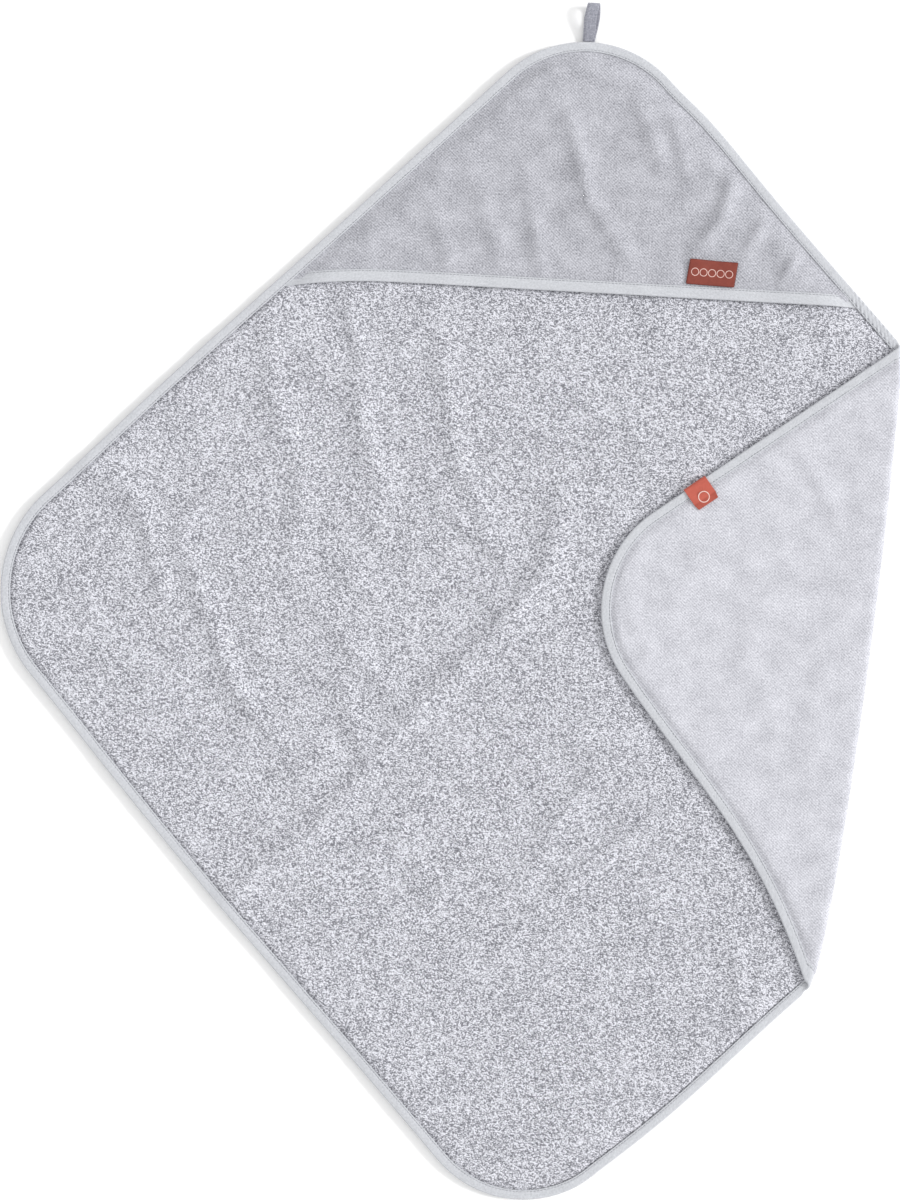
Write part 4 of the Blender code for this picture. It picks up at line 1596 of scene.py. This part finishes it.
@dataclass
class Panel:
    """The cloth on the table with the binding all round it.

    Attributes:
        shop: What it is made with.
        inset: How far inside the edge the cloth ends, in the binding.
        pitch: From one modelled loop to the next.
        hidden_pitch: The same under the hood.
        back_pitch: The same on the smooth side.
    """

    shop: Shop
    inset: float = 0.0030
    pitch: float = 0.0027
    hidden_pitch: float = 0.0052
    back_pitch: float = 0.0085
    pile: Pile = field(default_factory=lambda: Pile(CLOTH, 0.00255, 0.00205))

    def pile_at(self, points: Array) -> Array:
        """The terry side's height, pressed down under the hood's seam.

        Args:
            points: The flat points.

        Returns:
            The height at each.
        """
        away, which = distance(points, self.shop.hood.edge)
        along = np.column_stack([which * self.shop.pattern.towel.pitch, 0.25 * away])
        drawn = 0.0005 * (1.0 + Swell(0.0100, 33).at(along)) * np.exp(-away / 0.016) * ease(0.0090, 0.0150, away)
        height = self.pile.terry(away) + drawn * ease(0.0, 0.030, -self.shop.pattern.outwards(points))
        pressed = np.minimum(height, self.shop.hood.seat(away) - 0.0002)
        under = 1.0 - ease(0.0, 0.003, -self.shop.pattern.above_hem(points))
        return height + (pressed - height) * under

    def back_at(self, points: Array) -> Array:
        """The smooth side's height."""
        return self.pile.smooth(distance(points, self.shop.hood.edge)[0])

    def cloth(self) -> Piece:
        """The lying cloth.

        Returns:
            The piece.
        """
        pattern = self.shop.pattern
        rim = pattern.towel.at(self.inset)
        share = np.linspace(0.0, 1.0, 150)[1:-1, None]
        outline = np.vstack([rim, rim[-1] + (rim[0] - rim[-1]) * share])
        rows = [pattern.towel.at(inset)[1:-1] for inset in (0.0060, 0.0082, 0.0090, 0.0099, 0.0112, 0.0130)]
        limit = pattern.towel.at(0.0146, 0.0018)
        fine = scattered(limit, self.pitch, 41)
        fine = fine[pattern.above_hem(fine) < 0.0060]
        coarse = scattered(limit, self.hidden_pitch, 42)
        coarse = coarse[pattern.above_hem(coarse) > 0.0085]
        back = scattered(limit, self.back_pitch, 43)
        back_rows = [row[::2] for row in (rows[0], rows[1], rows[4])]
        over, under = np.vstack([*rows, fine, coarse]), np.vstack([*back_rows, back])
        sheet = Cloth("terry_panel", self.shop.table, outline, over, under, self.pile_at, self.back_at)
        get = self.shop.wardrobe.get
        piece = sheet.build(get(Kind.TERRY), get(Kind.BACK))
        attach(piece, "towel")
        return self.shop.dress(piece, "terry_cloth", "towel_panel")

    def rib(self, flat: Array, length: Array, inset: float) -> Array:
        """The binding's puckers, drawn up in pleats beside the folded corner's upper end.

        Args:
            flat: The tape's flat points.
            length: Their lengths along it.
            inset: How far inside its outer edge.

        Returns:
            How much higher each point stands.
        """
        near = ease(0.0, 0.006, length) * (1.0 - ease(0.045, 0.070, length))
        uneven = 0.7 + 0.4 * Swell(0.0070, 34).at(np.column_stack([length, 0 * length]))
        pleats = np.sin((length + 0.8 * inset) * 2 * math.pi / 0.0054) * 0.00055 * near * uneven
        return pucker(flat, length, inset) + pleats

    def binding(self) -> Piece:
        """The tape round the edge.

        Returns:
            The piece.
        """
        profile = round_tape(BINDING_WIDTH, BINDING_LOW, BINDING_HIGH, BINDING_WIDTH - THREAD_INSET)
        path_at = self.shop.pattern.towel.at
        piece = self.shop.sweep_tape("edge_tape", self.shop.table, path_at, profile, lift=self.rib)
        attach(piece, "towel")
        return self.shop.dress(piece, "binding_tape", "edge_binding")

    def stitches(self) -> list[Piece]:
        """The two rows of stitches along the tape.

        Returns:
            The two pieces.
        """
        line = self.shop.pattern.towel.at(BINDING_WIDTH - THREAD_INSET)
        made = []
        for name, node, above in (
            ("edge_stitches_above", "edge_needle_thread", BINDING_HIGH - 0.00012),
            ("edge_stitches_below", "edge_bobbin_thread", BINDING_LOW + 0.00012),
        ):
            piece = self.shop.sew_row(name, self.shop.table, line, above)
            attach(piece, "towel")
            made.append(self.shop.dress(piece, "sewing_thread", node))
        return made

    def build(self) -> None:
        """Builds and dresses the lying part of the towel."""
        cloth = self.cloth()
        trim = [self.binding(), *self.stitches()]


@dataclass
class Corner:
    """The folded corner: its cloth with the bend, its binding, stitches and tab.

    Attributes:
        shop: What it is made with.
        inset: How far inside the edge the cloth ends, in the binding.
        low: Not used.
        high: Not used.
    """

    shop: Shop
    inset: float = 0.0030
    pitch: float = 0.0030
    smooth_pitch: float = 0.0036
    low: float = 0.0046
    high: float = 0.0060
    pile: Pile = field(default_factory=Pile)

    def __post_init__(self) -> None:
        """Keeps the folded edge, which the cloth's heights follow."""
        self.edge = self.shop.folded.path(0.0)

    def pile_at(self, points: Array) -> Array:
        """The terry side's height."""
        return self.pile.terry(distance(points, self.edge)[0])

    def back_at(self, points: Array) -> Array:
        """The smooth side's height, dented along the seam."""
        return self.pile.smooth(distance(points, self.edge)[0])

    def bend(self, piece: Piece) -> None:
        """Bakes the piece's transform into its mesh.

        Args:
            piece: The piece.
        """
        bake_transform(piece)

    def cloth(self) -> Piece:
        """The flap's cloth with the bend.

        Returns:
            The piece.
        """
        folded, pattern = self.shop.folded, self.shop.pattern
        outline = np.vstack([folded.path(self.inset), folded.bend(self.inset, 1.0)])
        turns = [folded.bend(self.inset, k / 14) for k in range(1, 14)]
        rim = [pattern.flap.at(inset)[2:-2] for inset in (0.0060, 0.0084, 0.0094, 0.0108, 0.0128)]
        limit = pattern.flap.at(0.0146, 0.0022)
        under = np.vstack([*turns, *rim, scattered(limit, self.pitch, 51)])
        over = np.vstack([*turns, *rim, scattered(limit, self.smooth_pitch, 52)])
        sheet = Cloth("corner_cloth", folded, outline, under, over, self.pile_at, self.back_at, True)
        get = self.shop.wardrobe.get
        piece = sheet.build(get(Kind.TERRY), get(Kind.BACK))
        self.bend(piece)
        return self.shop.dress(piece, "smooth_cloth", "corner_flap", "corner_fold")

    def binding(self) -> Piece:
        """The tape along the flap's edge and round the bend's two ends.

        Returns:
            The piece.
        """
        profile = round_tape(BINDING_WIDTH, BINDING_LOW, BINDING_HIGH, BINDING_WIDTH - THREAD_INSET)
        folded = self.shop.folded
        piece = self.shop.sweep_tape("corner_tape", folded, folded.path, profile, lift=pucker)
        self.bend(piece)
        nodes = ("flap_binding", "fold_binding_upper", "fold_binding_lower")
        return self.shop.dress(piece, "binding_tape", *nodes)

    def stitches(self) -> list[Piece]:
        """The rows of stitches on the flap's two sides.

        Returns:
            The pieces.
        """
        folded = self.shop.folded
        line = self.shop.pattern.flap.at(BINDING_WIDTH - THREAD_INSET)
        made = []
        for name, node, above in (
            ("corner_stitches_above", "flap_needle_thread", BINDING_LOW + 0.00012),
            ("corner_stitches_below", "flap_bobbin_thread", BINDING_HIGH - 0.00012),
        ):
            piece = self.shop.sew_row(name, folded, line, above)
            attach(piece, "flap")
            made.append(self.shop.dress(piece, "sewing_thread", node))
        path = folded.path(BINDING_WIDTH - THREAD_INSET)
        for name, end in (("upper", path[:22]), ("lower", path[-22:])):
            piece = self.shop.sew_row(f"bend_stitches_{name}", folded, end, BINDING_LOW + 0.00012)
            self.bend(piece)
            made.append(self.shop.dress(piece, "sewing_thread"))
        return made

    def build(self) -> None:
        """Builds and dresses the folded corner."""
        cloth = self.cloth()
        trim = [self.binding(), *self.stitches()]
        trim += Tab(self.shop).build()


def ring(
    name: str,
    lay: Lay,
    middle: Array,
    radius: float,
    stroke: float,
    above: tuple[float, float],
    material: Material,
) -> Piece:
    """A thin ring pressed onto a surface.

    Args:
        name: The piece's name.
        lay: How the surface below is placed.
        middle: The ring's middle, flat.
        radius: To the middle of its line.
        stroke: Its line's width.
        above: The height of its foot and of its top, as the lay counts them.
        material: Its material.

    Returns:
        The piece.
    """
    turns = np.linspace(0.0, 2 * math.pi, 29)[:-1]
    around = np.column_stack([np.cos(turns), np.sin(turns)])
    foot, top = above
    shape = [(0.5, foot), (0.42, top), (-0.42, top), (-0.5, foot)]
    rows = [lay.place(middle + around * (radius + side * stroke), np.full(28, height)) for side, height in shape]
    index = np.arange(4 * 28).reshape(4, 28)
    after, beside = np.roll(index, -1, axis=0), np.roll(index, -1, axis=1)
    both = np.roll(after, -1, axis=1)
    faces = np.stack([index, beside, both, after], axis=-1).reshape(-1, 4)
    piece = make_piece(name, np.vstack(rows), faces, [material], None, None, 50.0)
    turn_out(piece)
    return piece


@dataclass
class Tab:
    """The small leather tab folded round the flap's upper edge."""

    shop: Shop
    width: float = 0.0216
    depth: float = 0.0201
    from_tip: float = 0.1380
    ring_radius: float = 0.0046

    def path_at(self, inset: float) -> Array:
        """A straight line across the tab at this inset from the flap's edge.

        Args:
            inset: How far inside the flap's edge.

        Returns:
            Its flat points.
        """
        side = self.shop.pattern.flap.sides[0]
        middle = self.shop.pattern.tip - side.run * self.from_tip + side.inwards * inset
        corner = 0.0014 * max(0.0, 1.0 - (self.depth - inset) / 0.0014) ** 2
        reach = np.linspace(-1.0, 1.0, 13) * (self.width / 2 - corner)
        return middle + np.outer(reach, side.run)

    def profile(self) -> list[tuple[float, float]]:
        """The tab seen from its side: over the cloth, round the edge and back below it.

        Returns:
            Pairs of inset and height, going round.
        """
        over = [(self.depth, -0.0003), (0.0150, -0.0003), (0.0110, -0.0001), (0.0075, 0.0006), (0.0040, 0.0011)]
        turns = np.linspace(-0.5 * math.pi, 0.5 * math.pi, 9)
        bend = [(0.0012 - 0.0018 * math.cos(t), 0.0028 + 0.0016 * math.sin(t)) for t in turns]
        under = [(0.0040, 0.0045), (0.0075, 0.0047), (0.0110, 0.0050), (self.depth, 0.0050)]
        inner = over + bend + under
        points = np.array(inner)
        ahead = np.gradient(points, axis=0)
        normal = np.column_stack([-ahead[:, 1], ahead[:, 0]])
        normal /= np.linalg.norm(normal, axis=1)[:, None]
        outer = points - normal * 0.0010 if normal[0, 1] > 0 else points + normal * 0.0010
        edge = 0.00022
        first, last = outer[0].copy(), outer[-1].copy()
        outer[0, 0] -= edge
        outer[-1, 0] -= edge
        rim_top = [(self.depth, float(first[1]) + edge)]
        rim_low = [(self.depth, float(last[1]) - edge)]
        return [*inner, *rim_low, *[tuple(map(float, p)) for p in outer[::-1]], *rim_top]

    def build(self) -> list[Piece]:
        """Builds and dresses the tab with its ring.

        Returns:
            Its pieces.
        """
        shop = self.shop
        leather, pale = shop.wardrobe.get(Kind.TAB), shop.wardrobe.get(Kind.MARK)
        piece = sweep("edge_tab_leather", shop.folded, self.path_at, self.profile(), leather)
        layer = piece.data.uv_layers[FLAT_MAP].data
        uv = np.zeros(len(layer) * 2, np.float32)
        layer.foreach_get("uv", uv)
        uv = uv.reshape(-1, 2)
        middle = (uv.max(0) + uv.min(0)) / 2
        layer.foreach_set("uv", (uv - middle).ravel())
        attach(piece, "flap")
        shop.dress(piece, "tab_leather", "edge_tab")
        side = shop.pattern.flap.sides[0]
        spot = shop.pattern.tip - side.run * self.from_tip + side.inwards * 0.0130
        mark = ring("tab_ring", shop.folded, spot, self.ring_radius, 0.0009, (-0.0011, -0.00145), pale)
        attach(mark, "flap")
        shop.dress(mark, "tab_leather")
        return [piece, mark]


@dataclass
class Hood:
    """The hood in two halves, parted on its middle line, with its hem tape and stitches.

    Attributes:
        shop: What it is made with.
        inset: How far inside the towel's edge the cloth ends, in the binding.
        lift: How far inside the hem's lower edge it ends, in the hem tape.
        near: Not used.
        far: Not used.
    """

    shop: Shop
    inset: float = 0.0040
    lift: float = 0.0034
    near: float = 0.010
    far: float = 0.052
    top_pitch: float = 0.0030
    pile_pitch: float = 0.0042
    pile: Pile = field(default_factory=lambda: Pile(HOOD_CLOTH, HOOD_CLOTH, 0.0, 0.0002, 9))

    def pile_at(self, points: Array) -> Array:
        """The terry side's height, counted down from the outer side.

        Args:
            points: The flat points.

        Returns:
            The height at each.
        """
        away, _ = distance(points, self.shop.hood.edge)
        up = self.shop.pattern.above_hem(points)
        return self.pile.terry(away) - 0.0007 * (1.0 - ease(HEM_WIDTH, 0.0140, up))

    def back_at(self, points: Array) -> Array:
        """The outer side's depth below its full height, near the hem tape."""
        return 0.0007 * (1.0 - ease(HEM_WIDTH - 0.0004, 0.0140, self.shop.pattern.above_hem(points)))

    def half_side(self, right: bool, inset: float, lift: float) -> Array:
        """A half's sewn side, from its hem end to the middle line.

        Args:
            right: Which half.
            inset: How far inside the edge.
            lift: How far above the hem its end is.

        Returns:
            Its flat points.
        """
        line = self.shop.pattern.hood.at(inset, lift)
        mid = int(np.argmin(np.abs(line[:, 0] - self.shop.pattern.parting(line[:, 1]))))
        return line[: mid + 1] if right else line[mid:][::-1]

    def half_hem(self, right: bool, inset: float, lift: float) -> Array:
        """A half's hem, from the middle line to its sewn side.

        Args:
            right: Which half.
            inset: How far inside the sewn side it ends.
            lift: How far above the hem.

        Returns:
            Its flat points.
        """
        pattern = self.shop.pattern
        end = self.half_side(right, inset, lift)[0][0]
        start = float(pattern.parting(pattern.hem_height + lift))
        x = start + (end - start) * np.linspace(0.0, 1.0, 121 if right else 123)
        return np.column_stack([x, pattern.hem_at(x) + lift])

    def blend(self, piece: Piece, right: bool) -> None:
        """Bakes the piece's transform into its mesh.

        Args:
            piece: The piece.
            right: Not used.
        """
        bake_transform(piece)

    def cloth(self, right: bool) -> Piece:
        """One half of the hood's cloth.

        Args:
            right: Which half.

        Returns:
            The piece.
        """
        name = "hood_right" if right else "hood_left"
        side = self.half_side(right, self.inset, self.lift)
        hem = self.half_hem(right, self.inset, self.lift)
        top, low = side[-1], hem[0]
        middle = top + (low - top) * np.linspace(0.0, 1.0, 75)[1:-1, None]
        outline = np.vstack([side, middle, hem[:-1]])
        if not right:
            outline = outline[::-1]
        inner = self.half_side(right, 0.0140, 0.0140)
        near_hem = self.half_hem(right, 0.0140, 0.0140)
        pull = xy(0.0016 if right else -0.0016, 0.0)
        limit = np.vstack([inner[:-1], inner[-1:] + pull, near_hem[:1] + pull, near_hem[1:-1]])
        rows = [self.half_side(right, inset, 0.0150)[:-1] for inset in (0.0070, 0.0086, 0.0096, 0.0114)]
        rows += [self.half_hem(right, 0.0140, lift)[1:-1] for lift in (0.0090, 0.0104, 0.0120)]
        top_fill = np.vstack([*rows, scattered(limit, self.top_pitch, 61)])
        pile_fill = np.vstack([*rows, scattered(limit, self.pile_pitch, 62)])
        sheet = Cloth(name, self.shop.hood, outline, pile_fill, top_fill, self.pile_at, self.back_at, True)
        get = self.shop.wardrobe.get
        piece = sheet.build(get(Kind.TERRY), get(Kind.HOOD))
        self.blend(piece, right)
        return self.shop.dress(piece, "smooth_cloth", "hood_panel")

    def hem(self, right: bool) -> list[Piece]:
        """One half of the hem's tape with its two rows of stitches.

        Args:
            right: Which half.

        Returns:
            The three pieces.
        """
        side = "right" if right else "left"
        profile = round_tape(HEM_WIDTH, 0.0, HOOD_CLOTH, HEM_WIDTH - THREAD_INSET)
        path_at = partial(self.half_hem, right, 0.0046)
        made = [self.shop.sweep_tape(f"hem_tape_{side}", self.shop.hood, path_at, profile)]
        line = self.half_hem(right, 0.0080, HEM_WIDTH - THREAD_INSET)
        for name, above in (("above", 0.00012), ("below", HOOD_CLOTH - 0.00012)):
            made.append(self.shop.sew_row(f"hem_stitches_{name}_{side}", self.shop.hood, line, above))
        slots = ("binding_tape", "sewing_thread", "sewing_thread")
        nodes = ("hood_hem_binding", "hem_needle_thread", "hem_bobbin_thread")
        for piece, slot, node in zip(made, slots, nodes):
            self.blend(piece, right)
            self.shop.dress(piece, slot, node)
        return made

    def build(self) -> None:
        """Builds and dresses both halves."""
        for right in (True, False):
            cloth, trim = self.cloth(right), self.hem(right)
            side = self.half_side(right, 0.0, 0.0)
            area = area_of(np.vstack([side, self.half_hem(right, 0.0, 0.0)]))


@dataclass
class Label:
    """The leather label above the hem, with a row of small rings."""

    shop: Shop | None
    width: float = 0.0414
    height: float = 0.0214
    thick: float = 0.0012
    at_x: float = 0.1145
    tilt: float = math.radians(-1.5)
    lean: float = 0.0018
    round: float = 0.0011
    lay: Lay | None = None

    def foot(self, pattern: Pattern) -> Array:
        """The middle of its lower edge in the pattern, where it turns on its stitches."""
        foot_y = float(pattern.hem_at(self.at_x)) + HEM_WIDTH + 2 * CLEAR
        return xy(self.at_x, foot_y + math.sin(abs(self.tilt)) * self.width / 2)

    def spot(self, across: Array, up: Array) -> Array:
        """Flat places from their shares across and up the label.

        Args:
            across: Shares of the width.
            up: Shares of the height.

        Returns:
            The flat points.
        """
        pattern = self.shop.pattern
        along = xy(math.cos(self.tilt), math.sin(self.tilt))
        rise = xy(-along[1], along[0]) * self.height + along * self.lean
        return self.foot(pattern) + np.multiply.outer(across - 0.5, along * self.width) + np.multiply.outer(up, rise)

    def slab(self) -> Piece:
        """The label's leather, with round corners and a soft upper edge.

        Returns:
            The piece.
        """
        columns, rows = 31, 17
        u = 0.5 - 0.5 * np.cos(np.linspace(0.0, math.pi, columns))
        v = 0.5 - 0.5 * np.cos(np.linspace(0.0, math.pi, rows))
        uu, vv = np.meshgrid(u, v)
        x, y = (uu - 0.5) * self.width, (vv - 0.5) * self.height
        half = (self.width / 2 - self.round, self.height / 2 - self.round)
        dx, dy = np.abs(x) - half[0], np.abs(y) - half[1]
        both = (dx > 0) & (dy > 0)
        size = np.where(both, np.maximum(dx, dy) / np.maximum(np.hypot(dx, dy), 1e-9), 1.0)
        x = np.where(both, np.sign(x) * (half[0] + dx * size), x)
        y = np.where(both, np.sign(y) * (half[1] + dy * size), y)
        inwards = np.minimum(self.width / 2 - np.abs(x), self.height / 2 - np.abs(y))
        drop = 0.00032 * (1.0 - ease(0.0, 0.0011, inwards))
        flat = self.spot(x.ravel() / self.width + 0.5, y.ravel() / self.height + 0.5)
        top = self.lay.place(flat, -(CLEAR + self.thick - drop.ravel()))
        low = self.lay.place(flat, -(CLEAR + 0.15 * drop.ravel()))
        index = np.arange(columns * rows).reshape(rows, columns)
        quads = np.stack([index[:-1, :-1], index[:-1, 1:], index[1:, 1:], index[1:, :-1]], -1).reshape(-1, 4)
        rim = np.concatenate([index[0, :-1], index[:-1, -1], index[-1, :0:-1], index[:0:-1, 0]])
        walls = np.column_stack([rim + len(top), np.roll(rim, -1) + len(top), np.roll(rim, -1), rim])
        faces = [*quads, *(quads[:, ::-1] + len(top)), *walls]
        maps = np.column_stack([x.ravel(), y.ravel()])
        leather = self.shop.wardrobe.get(Kind.LABEL)
        piece = make_piece(
            "label_leather", np.vstack([top, low]), faces, [leather], np.vstack([maps, maps]), None, 60.0
        )
        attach(piece, "label")
        return self.shop.dress(piece, "label_leather", "hood_label")

    def rings(self) -> None:
        """The row of rings along the label's middle."""
        pale = self.shop.wardrobe.get(Kind.MARK)
        foot, top = -(CLEAR + self.thick - 0.0001), -(CLEAR + self.thick + 0.00008)
        for k in range(5):
            spot = self.spot(np.array(0.5 + (k - 2) * 0.176), np.array(0.50))
            piece = ring(f"label_ring_{k + 1}", self.lay, spot, 0.00310, 0.00060, (foot, top), pale)
            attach(piece, "label")
            self.shop.dress(piece, "label_leather")

    def build(self) -> None:
        """Builds and dresses the label."""
        self.lay = SmoothedHood(self.shop)
        self.slab()
        self.rings()


@dataclass
class SmoothedHood(Lay):
    """The hood's outer side without its small creases, as stiff leather lies on it."""

    shop: Shop
    spread: float = 0.007

    def place(self, flat: Array, above: Array) -> Array:
        """The place of each flat point, this far below the smooth outer side.

        Args:
            flat: The flat points.
            above: Their depths below the outer side.

        Returns:
            Their places in space.
        """
        ring_turns = np.linspace(0.0, 2 * math.pi, 9)[:-1]
        nears = [np.zeros(2)]
        nears += [self.spread * k * xy(math.cos(t), math.sin(t)) for t in ring_turns for k in (0.5, 1.0)]
        heights_near = [self.shop.hood.place(flat + near, np.zeros(len(flat)))[:, 2] for near in nears]
        level = 0.5 * np.mean(heights_near, axis=0) + 0.5 * np.max(heights_near, axis=0)
        return np.column_stack([flat + self.shop.table.shift, level - above])


@dataclass
class Loop:
    """The hanging loop of folded tape, its ends under the binding and the stitches on it."""

    shop: Shop
    width: float = 0.0104
    thick: float = 0.0005
    height: float = 0.0008
    lean: float = 0.0034

    def middle_line(self) -> Array:
        """The tape's middle line from the side: along below, round the tip and back above.

        Returns:
            Pairs of length out and height.
        """
        knots = np.array(
            [
                (0.0, -0.3), (5.0, -0.32), (12.0, -0.3), (20.0, -0.1), (26.5, 0.6), (30.6, 2.3), (32.3, 4.6),
                (31.0, 6.8), (27.6, 7.7), (22.5, 7.1), (16.0, 5.2), (9.5, 3.0), (4.0, 1.2), (0.0, 0.3),
            ]
        )  # fmt: skip
        padded = np.vstack([2 * knots[0] - knots[1], knots, 2 * knots[-1] - knots[-2]])
        points = []
        for k in range(1, len(padded) - 2):
            for t in np.linspace(0.0, 1.0, 7)[:-1]:
                p0, p1, p2, p3 = padded[k - 1 : k + 3]
                a, b = 2 * p1, p2 - p0
                c, d = 2 * p0 - 5 * p1 + 4 * p2 - p3, -p0 + 3 * p1 - 3 * p2 + p3
                points.append(0.5 * (a + b * t + c * t * t + d * t**3))
        points.append(knots[-1])
        return np.array(points) / 1000.0

    def frame(self) -> tuple[Array, Array, Array]:
        """The middle line, its outward normals and how far the tape leans aside there.

        Returns:
            The three, at each point.
        """
        line = self.middle_line()
        ahead = np.gradient(line, axis=0)
        normal = np.column_stack([ahead[:, 1], -ahead[:, 0]])
        normal /= np.linalg.norm(normal, axis=1)[:, None]
        steps = length_along(line)
        share = steps / steps[-1]
        aside = self.lean * np.sin(math.pi * np.clip(share / 0.72, 0.0, 1.0)) ** 1.3
        return line, normal, aside

    def at(self, across: float, off: float) -> Array:
        """Points along the loop, this far across the tape and out of its middle.

        Args:
            across: How far across.
            off: How far out.

        Returns:
            Points in space.
        """
        line, normal, aside = self.frame()
        x0, y0, z0 = self.origin()
        spots = line + normal * off
        return np.column_stack([x0 + aside + across, y0 + spots[:, 0], z0 + spots[:, 1]])

    def origin(self) -> tuple[float, float, float]:
        """The middle of the loop's hinge line."""
        low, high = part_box("hanging_loop")
        return (low[0] + high[0]) / 2, low[1], self.height

    def band(self) -> Piece:
        """The tape.

        Returns:
            The piece.
        """
        half, t = self.width / 2, self.thick / 2
        section = [(-half, 0.0), (-half + 0.0003, t), (-half + 0.0012, t * 1.25), (-half + 0.0017, t * 0.9)]
        section += [(-half + 0.0022, t * 1.1), (0.0, t * 1.2), (half - 0.0012, t), (half - 0.0003, t), (half, 0.0)]
        section += [(x, -0.9 * off) for x, off in section[-2:0:-1]]
        rows = [self.at(x, off) for x, off in section]
        faces = tube_faces(len(rows), len(rows[0]))
        length = length_along(rows[0])
        maps = np.vstack([np.column_stack([length, np.full(len(length), x)]) for x, _ in section])
        tape = self.shop.wardrobe.get(Kind.LOOP)
        piece = make_piece("loop_band", np.vstack(rows), faces, [tape], maps, None, 60.0)
        turn_out(piece)
        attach(piece, "loop")
        return self.shop.dress(piece, "loop_tape", "hanging_loop")

    def tail(self) -> Piece:
        """The tape's two ends under the binding.

        Returns:
            The piece.
        """
        low, high = (np.array(v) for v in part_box("loop_tail"))
        size = high - low
        section = [(0.0, 0.2), (0.04, 0.0), (0.96, 0.0), (1.0, 0.2), (1.0, 0.46), (0.97, 0.5), (1.0, 0.54)]
        section += [(1.0, 0.8), (0.96, 1.0), (0.04, 1.0), (0.0, 0.8), (0.0, 0.54), (0.03, 0.5), (0.0, 0.46)]
        points = [low + size * np.array([x, y, z]) for y in (0.0, 1.0) for x, z in section]
        count = len(section)
        ring_index = np.arange(count)
        after = (ring_index + 1) % count
        walls = np.column_stack([ring_index, after, after + count, ring_index + count])
        faces = [*walls, list(ring_index[::-1]), list(ring_index + count)]
        maps = np.array([(p[1] - low[1], p[0] - low[0]) for p in points])
        tape = self.shop.wardrobe.get(Kind.LOOP)
        piece = make_piece("loop_ends", np.array(points), faces, [tape], maps, None, 40.0)
        turn_out(piece)
        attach(piece, "towel")
        return self.shop.dress(piece, "loop_tape", "loop_tail")

    def stitches(self) -> Piece:
        """The row of stitches beside the tape's left edge, on the upper side.

        Returns:
            The piece.
        """
        row = self.at(-self.width / 2 + 0.0017, self.thick / 2 + 0.00016)
        upper = row[len(row) * 55 // 100 :]
        piece = self.shop.stitcher.sew("loop_stitches", upper, 0.0022)
        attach(piece, "loop")
        return self.shop.dress(piece, "sewing_thread", "loop_thread")

    def build(self) -> None:
        """Builds and dresses the loop."""
        self.band()
        self.tail()
        self.stitches()


# The stage
@dataclass
class Stage:
    """The table, the light and the camera straight above.

    Attributes:
        wardrobe: Where the table's material comes from.
        top: Height of the table.
        turn: How far the camera is turned, in degrees.
        aim: Where it looks.
        away: How far above it hangs.
        lens: Its focal length in millimetres.
    """

    wardrobe: Wardrobe
    top: float = -0.0020
    turn: float = 3.17
    aim: tuple[float, float] = (0.0054, -0.0038)
    away: float = 2.43
    lens: float = 85.0

    def table(self) -> None:
        """A wide pale table."""
        s, z = 4.0, self.top
        points = np.array([(-s, -s, z), (s, -s, z), (s, s, z), (-s, s, z)])
        floor = make_piece("table_top", points, [(0, 1, 2, 3)], [self.wardrobe.get(Kind.TABLE)])

    def world(self) -> None:
        """Even light from all round."""
        world = bpy.data.worlds.new("studio")
        bpy.context.scene.world = world
        world.use_nodes = True
        shade = world.node_tree.nodes["Background"]
        shade.inputs[0].default_value = (1.0, 1.0, 1.0, 1.0)
        shade.inputs[1].default_value = 1.0

    def light(self, name: str, place: tuple[float, float, float], soft: float, strength: float) -> None:
        """A distant soft lamp that shines from this side.

        Args:
            name: The lamp's name.
            place: Where it shines from.
            soft: Its width in degrees.
            strength: Its strength.
        """
        data = bpy.data.lights.new(name, "SUN")
        data.angle, data.energy = math.radians(soft), strength
        lamp = put(name, data)
        lamp.location = place
        lamp.rotation_euler = (-Vector(place)).to_track_quat("-Z", "Y").to_euler()

    def camera(self) -> None:
        """A camera above, turned a little."""
        data = bpy.data.cameras.new("camera")
        data.lens, data.sensor_width, data.sensor_fit = self.lens, 36.0, "AUTO"
        data.clip_start, data.clip_end = 0.1, 20.0
        camera = put("camera", data)
        camera.location = (*self.aim, self.away)
        camera.rotation_euler = (0.0, 0.0, math.radians(self.turn))
        bpy.context.scene.camera = camera

    def build(self) -> None:
        """Sets up the table, the light and the camera."""
        self.table()
        self.world()
        self.light("key", (1.40, 0.20, 0.80), 12.0, 2.3)
        self.camera()
        bpy.context.scene.view_settings.view_transform = "Standard"


def main() -> None:
    """Builds the towel's looks and its stage."""
    logging.basicConfig(level=logging.INFO, format="%(name)s %(message)s")
    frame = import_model()
    pattern = Pattern()
    joints = {joint["name"]: joint for joint in frame["joints"]}
    hinge = np.array(joints["label_flip"]["pos_m"][:2], float)
    table = TableLay(pattern, hinge - Label(None).foot(pattern))
    folded, hood = FoldedLay(pattern, table), HoodLay(pattern, table)
    wardrobe = Wardrobe()
    stitcher = Stitcher(StitchTree(), wardrobe.get(Kind.THREAD))
    shop = Shop(pattern, table, folded, hood, wardrobe, stitcher)
    Stage(wardrobe).build()
    for part in (Panel(shop), Corner(shop), Hood(shop), Label(shop), Loop(shop)):
        part.build()


if __name__ == "__main__":
    main()
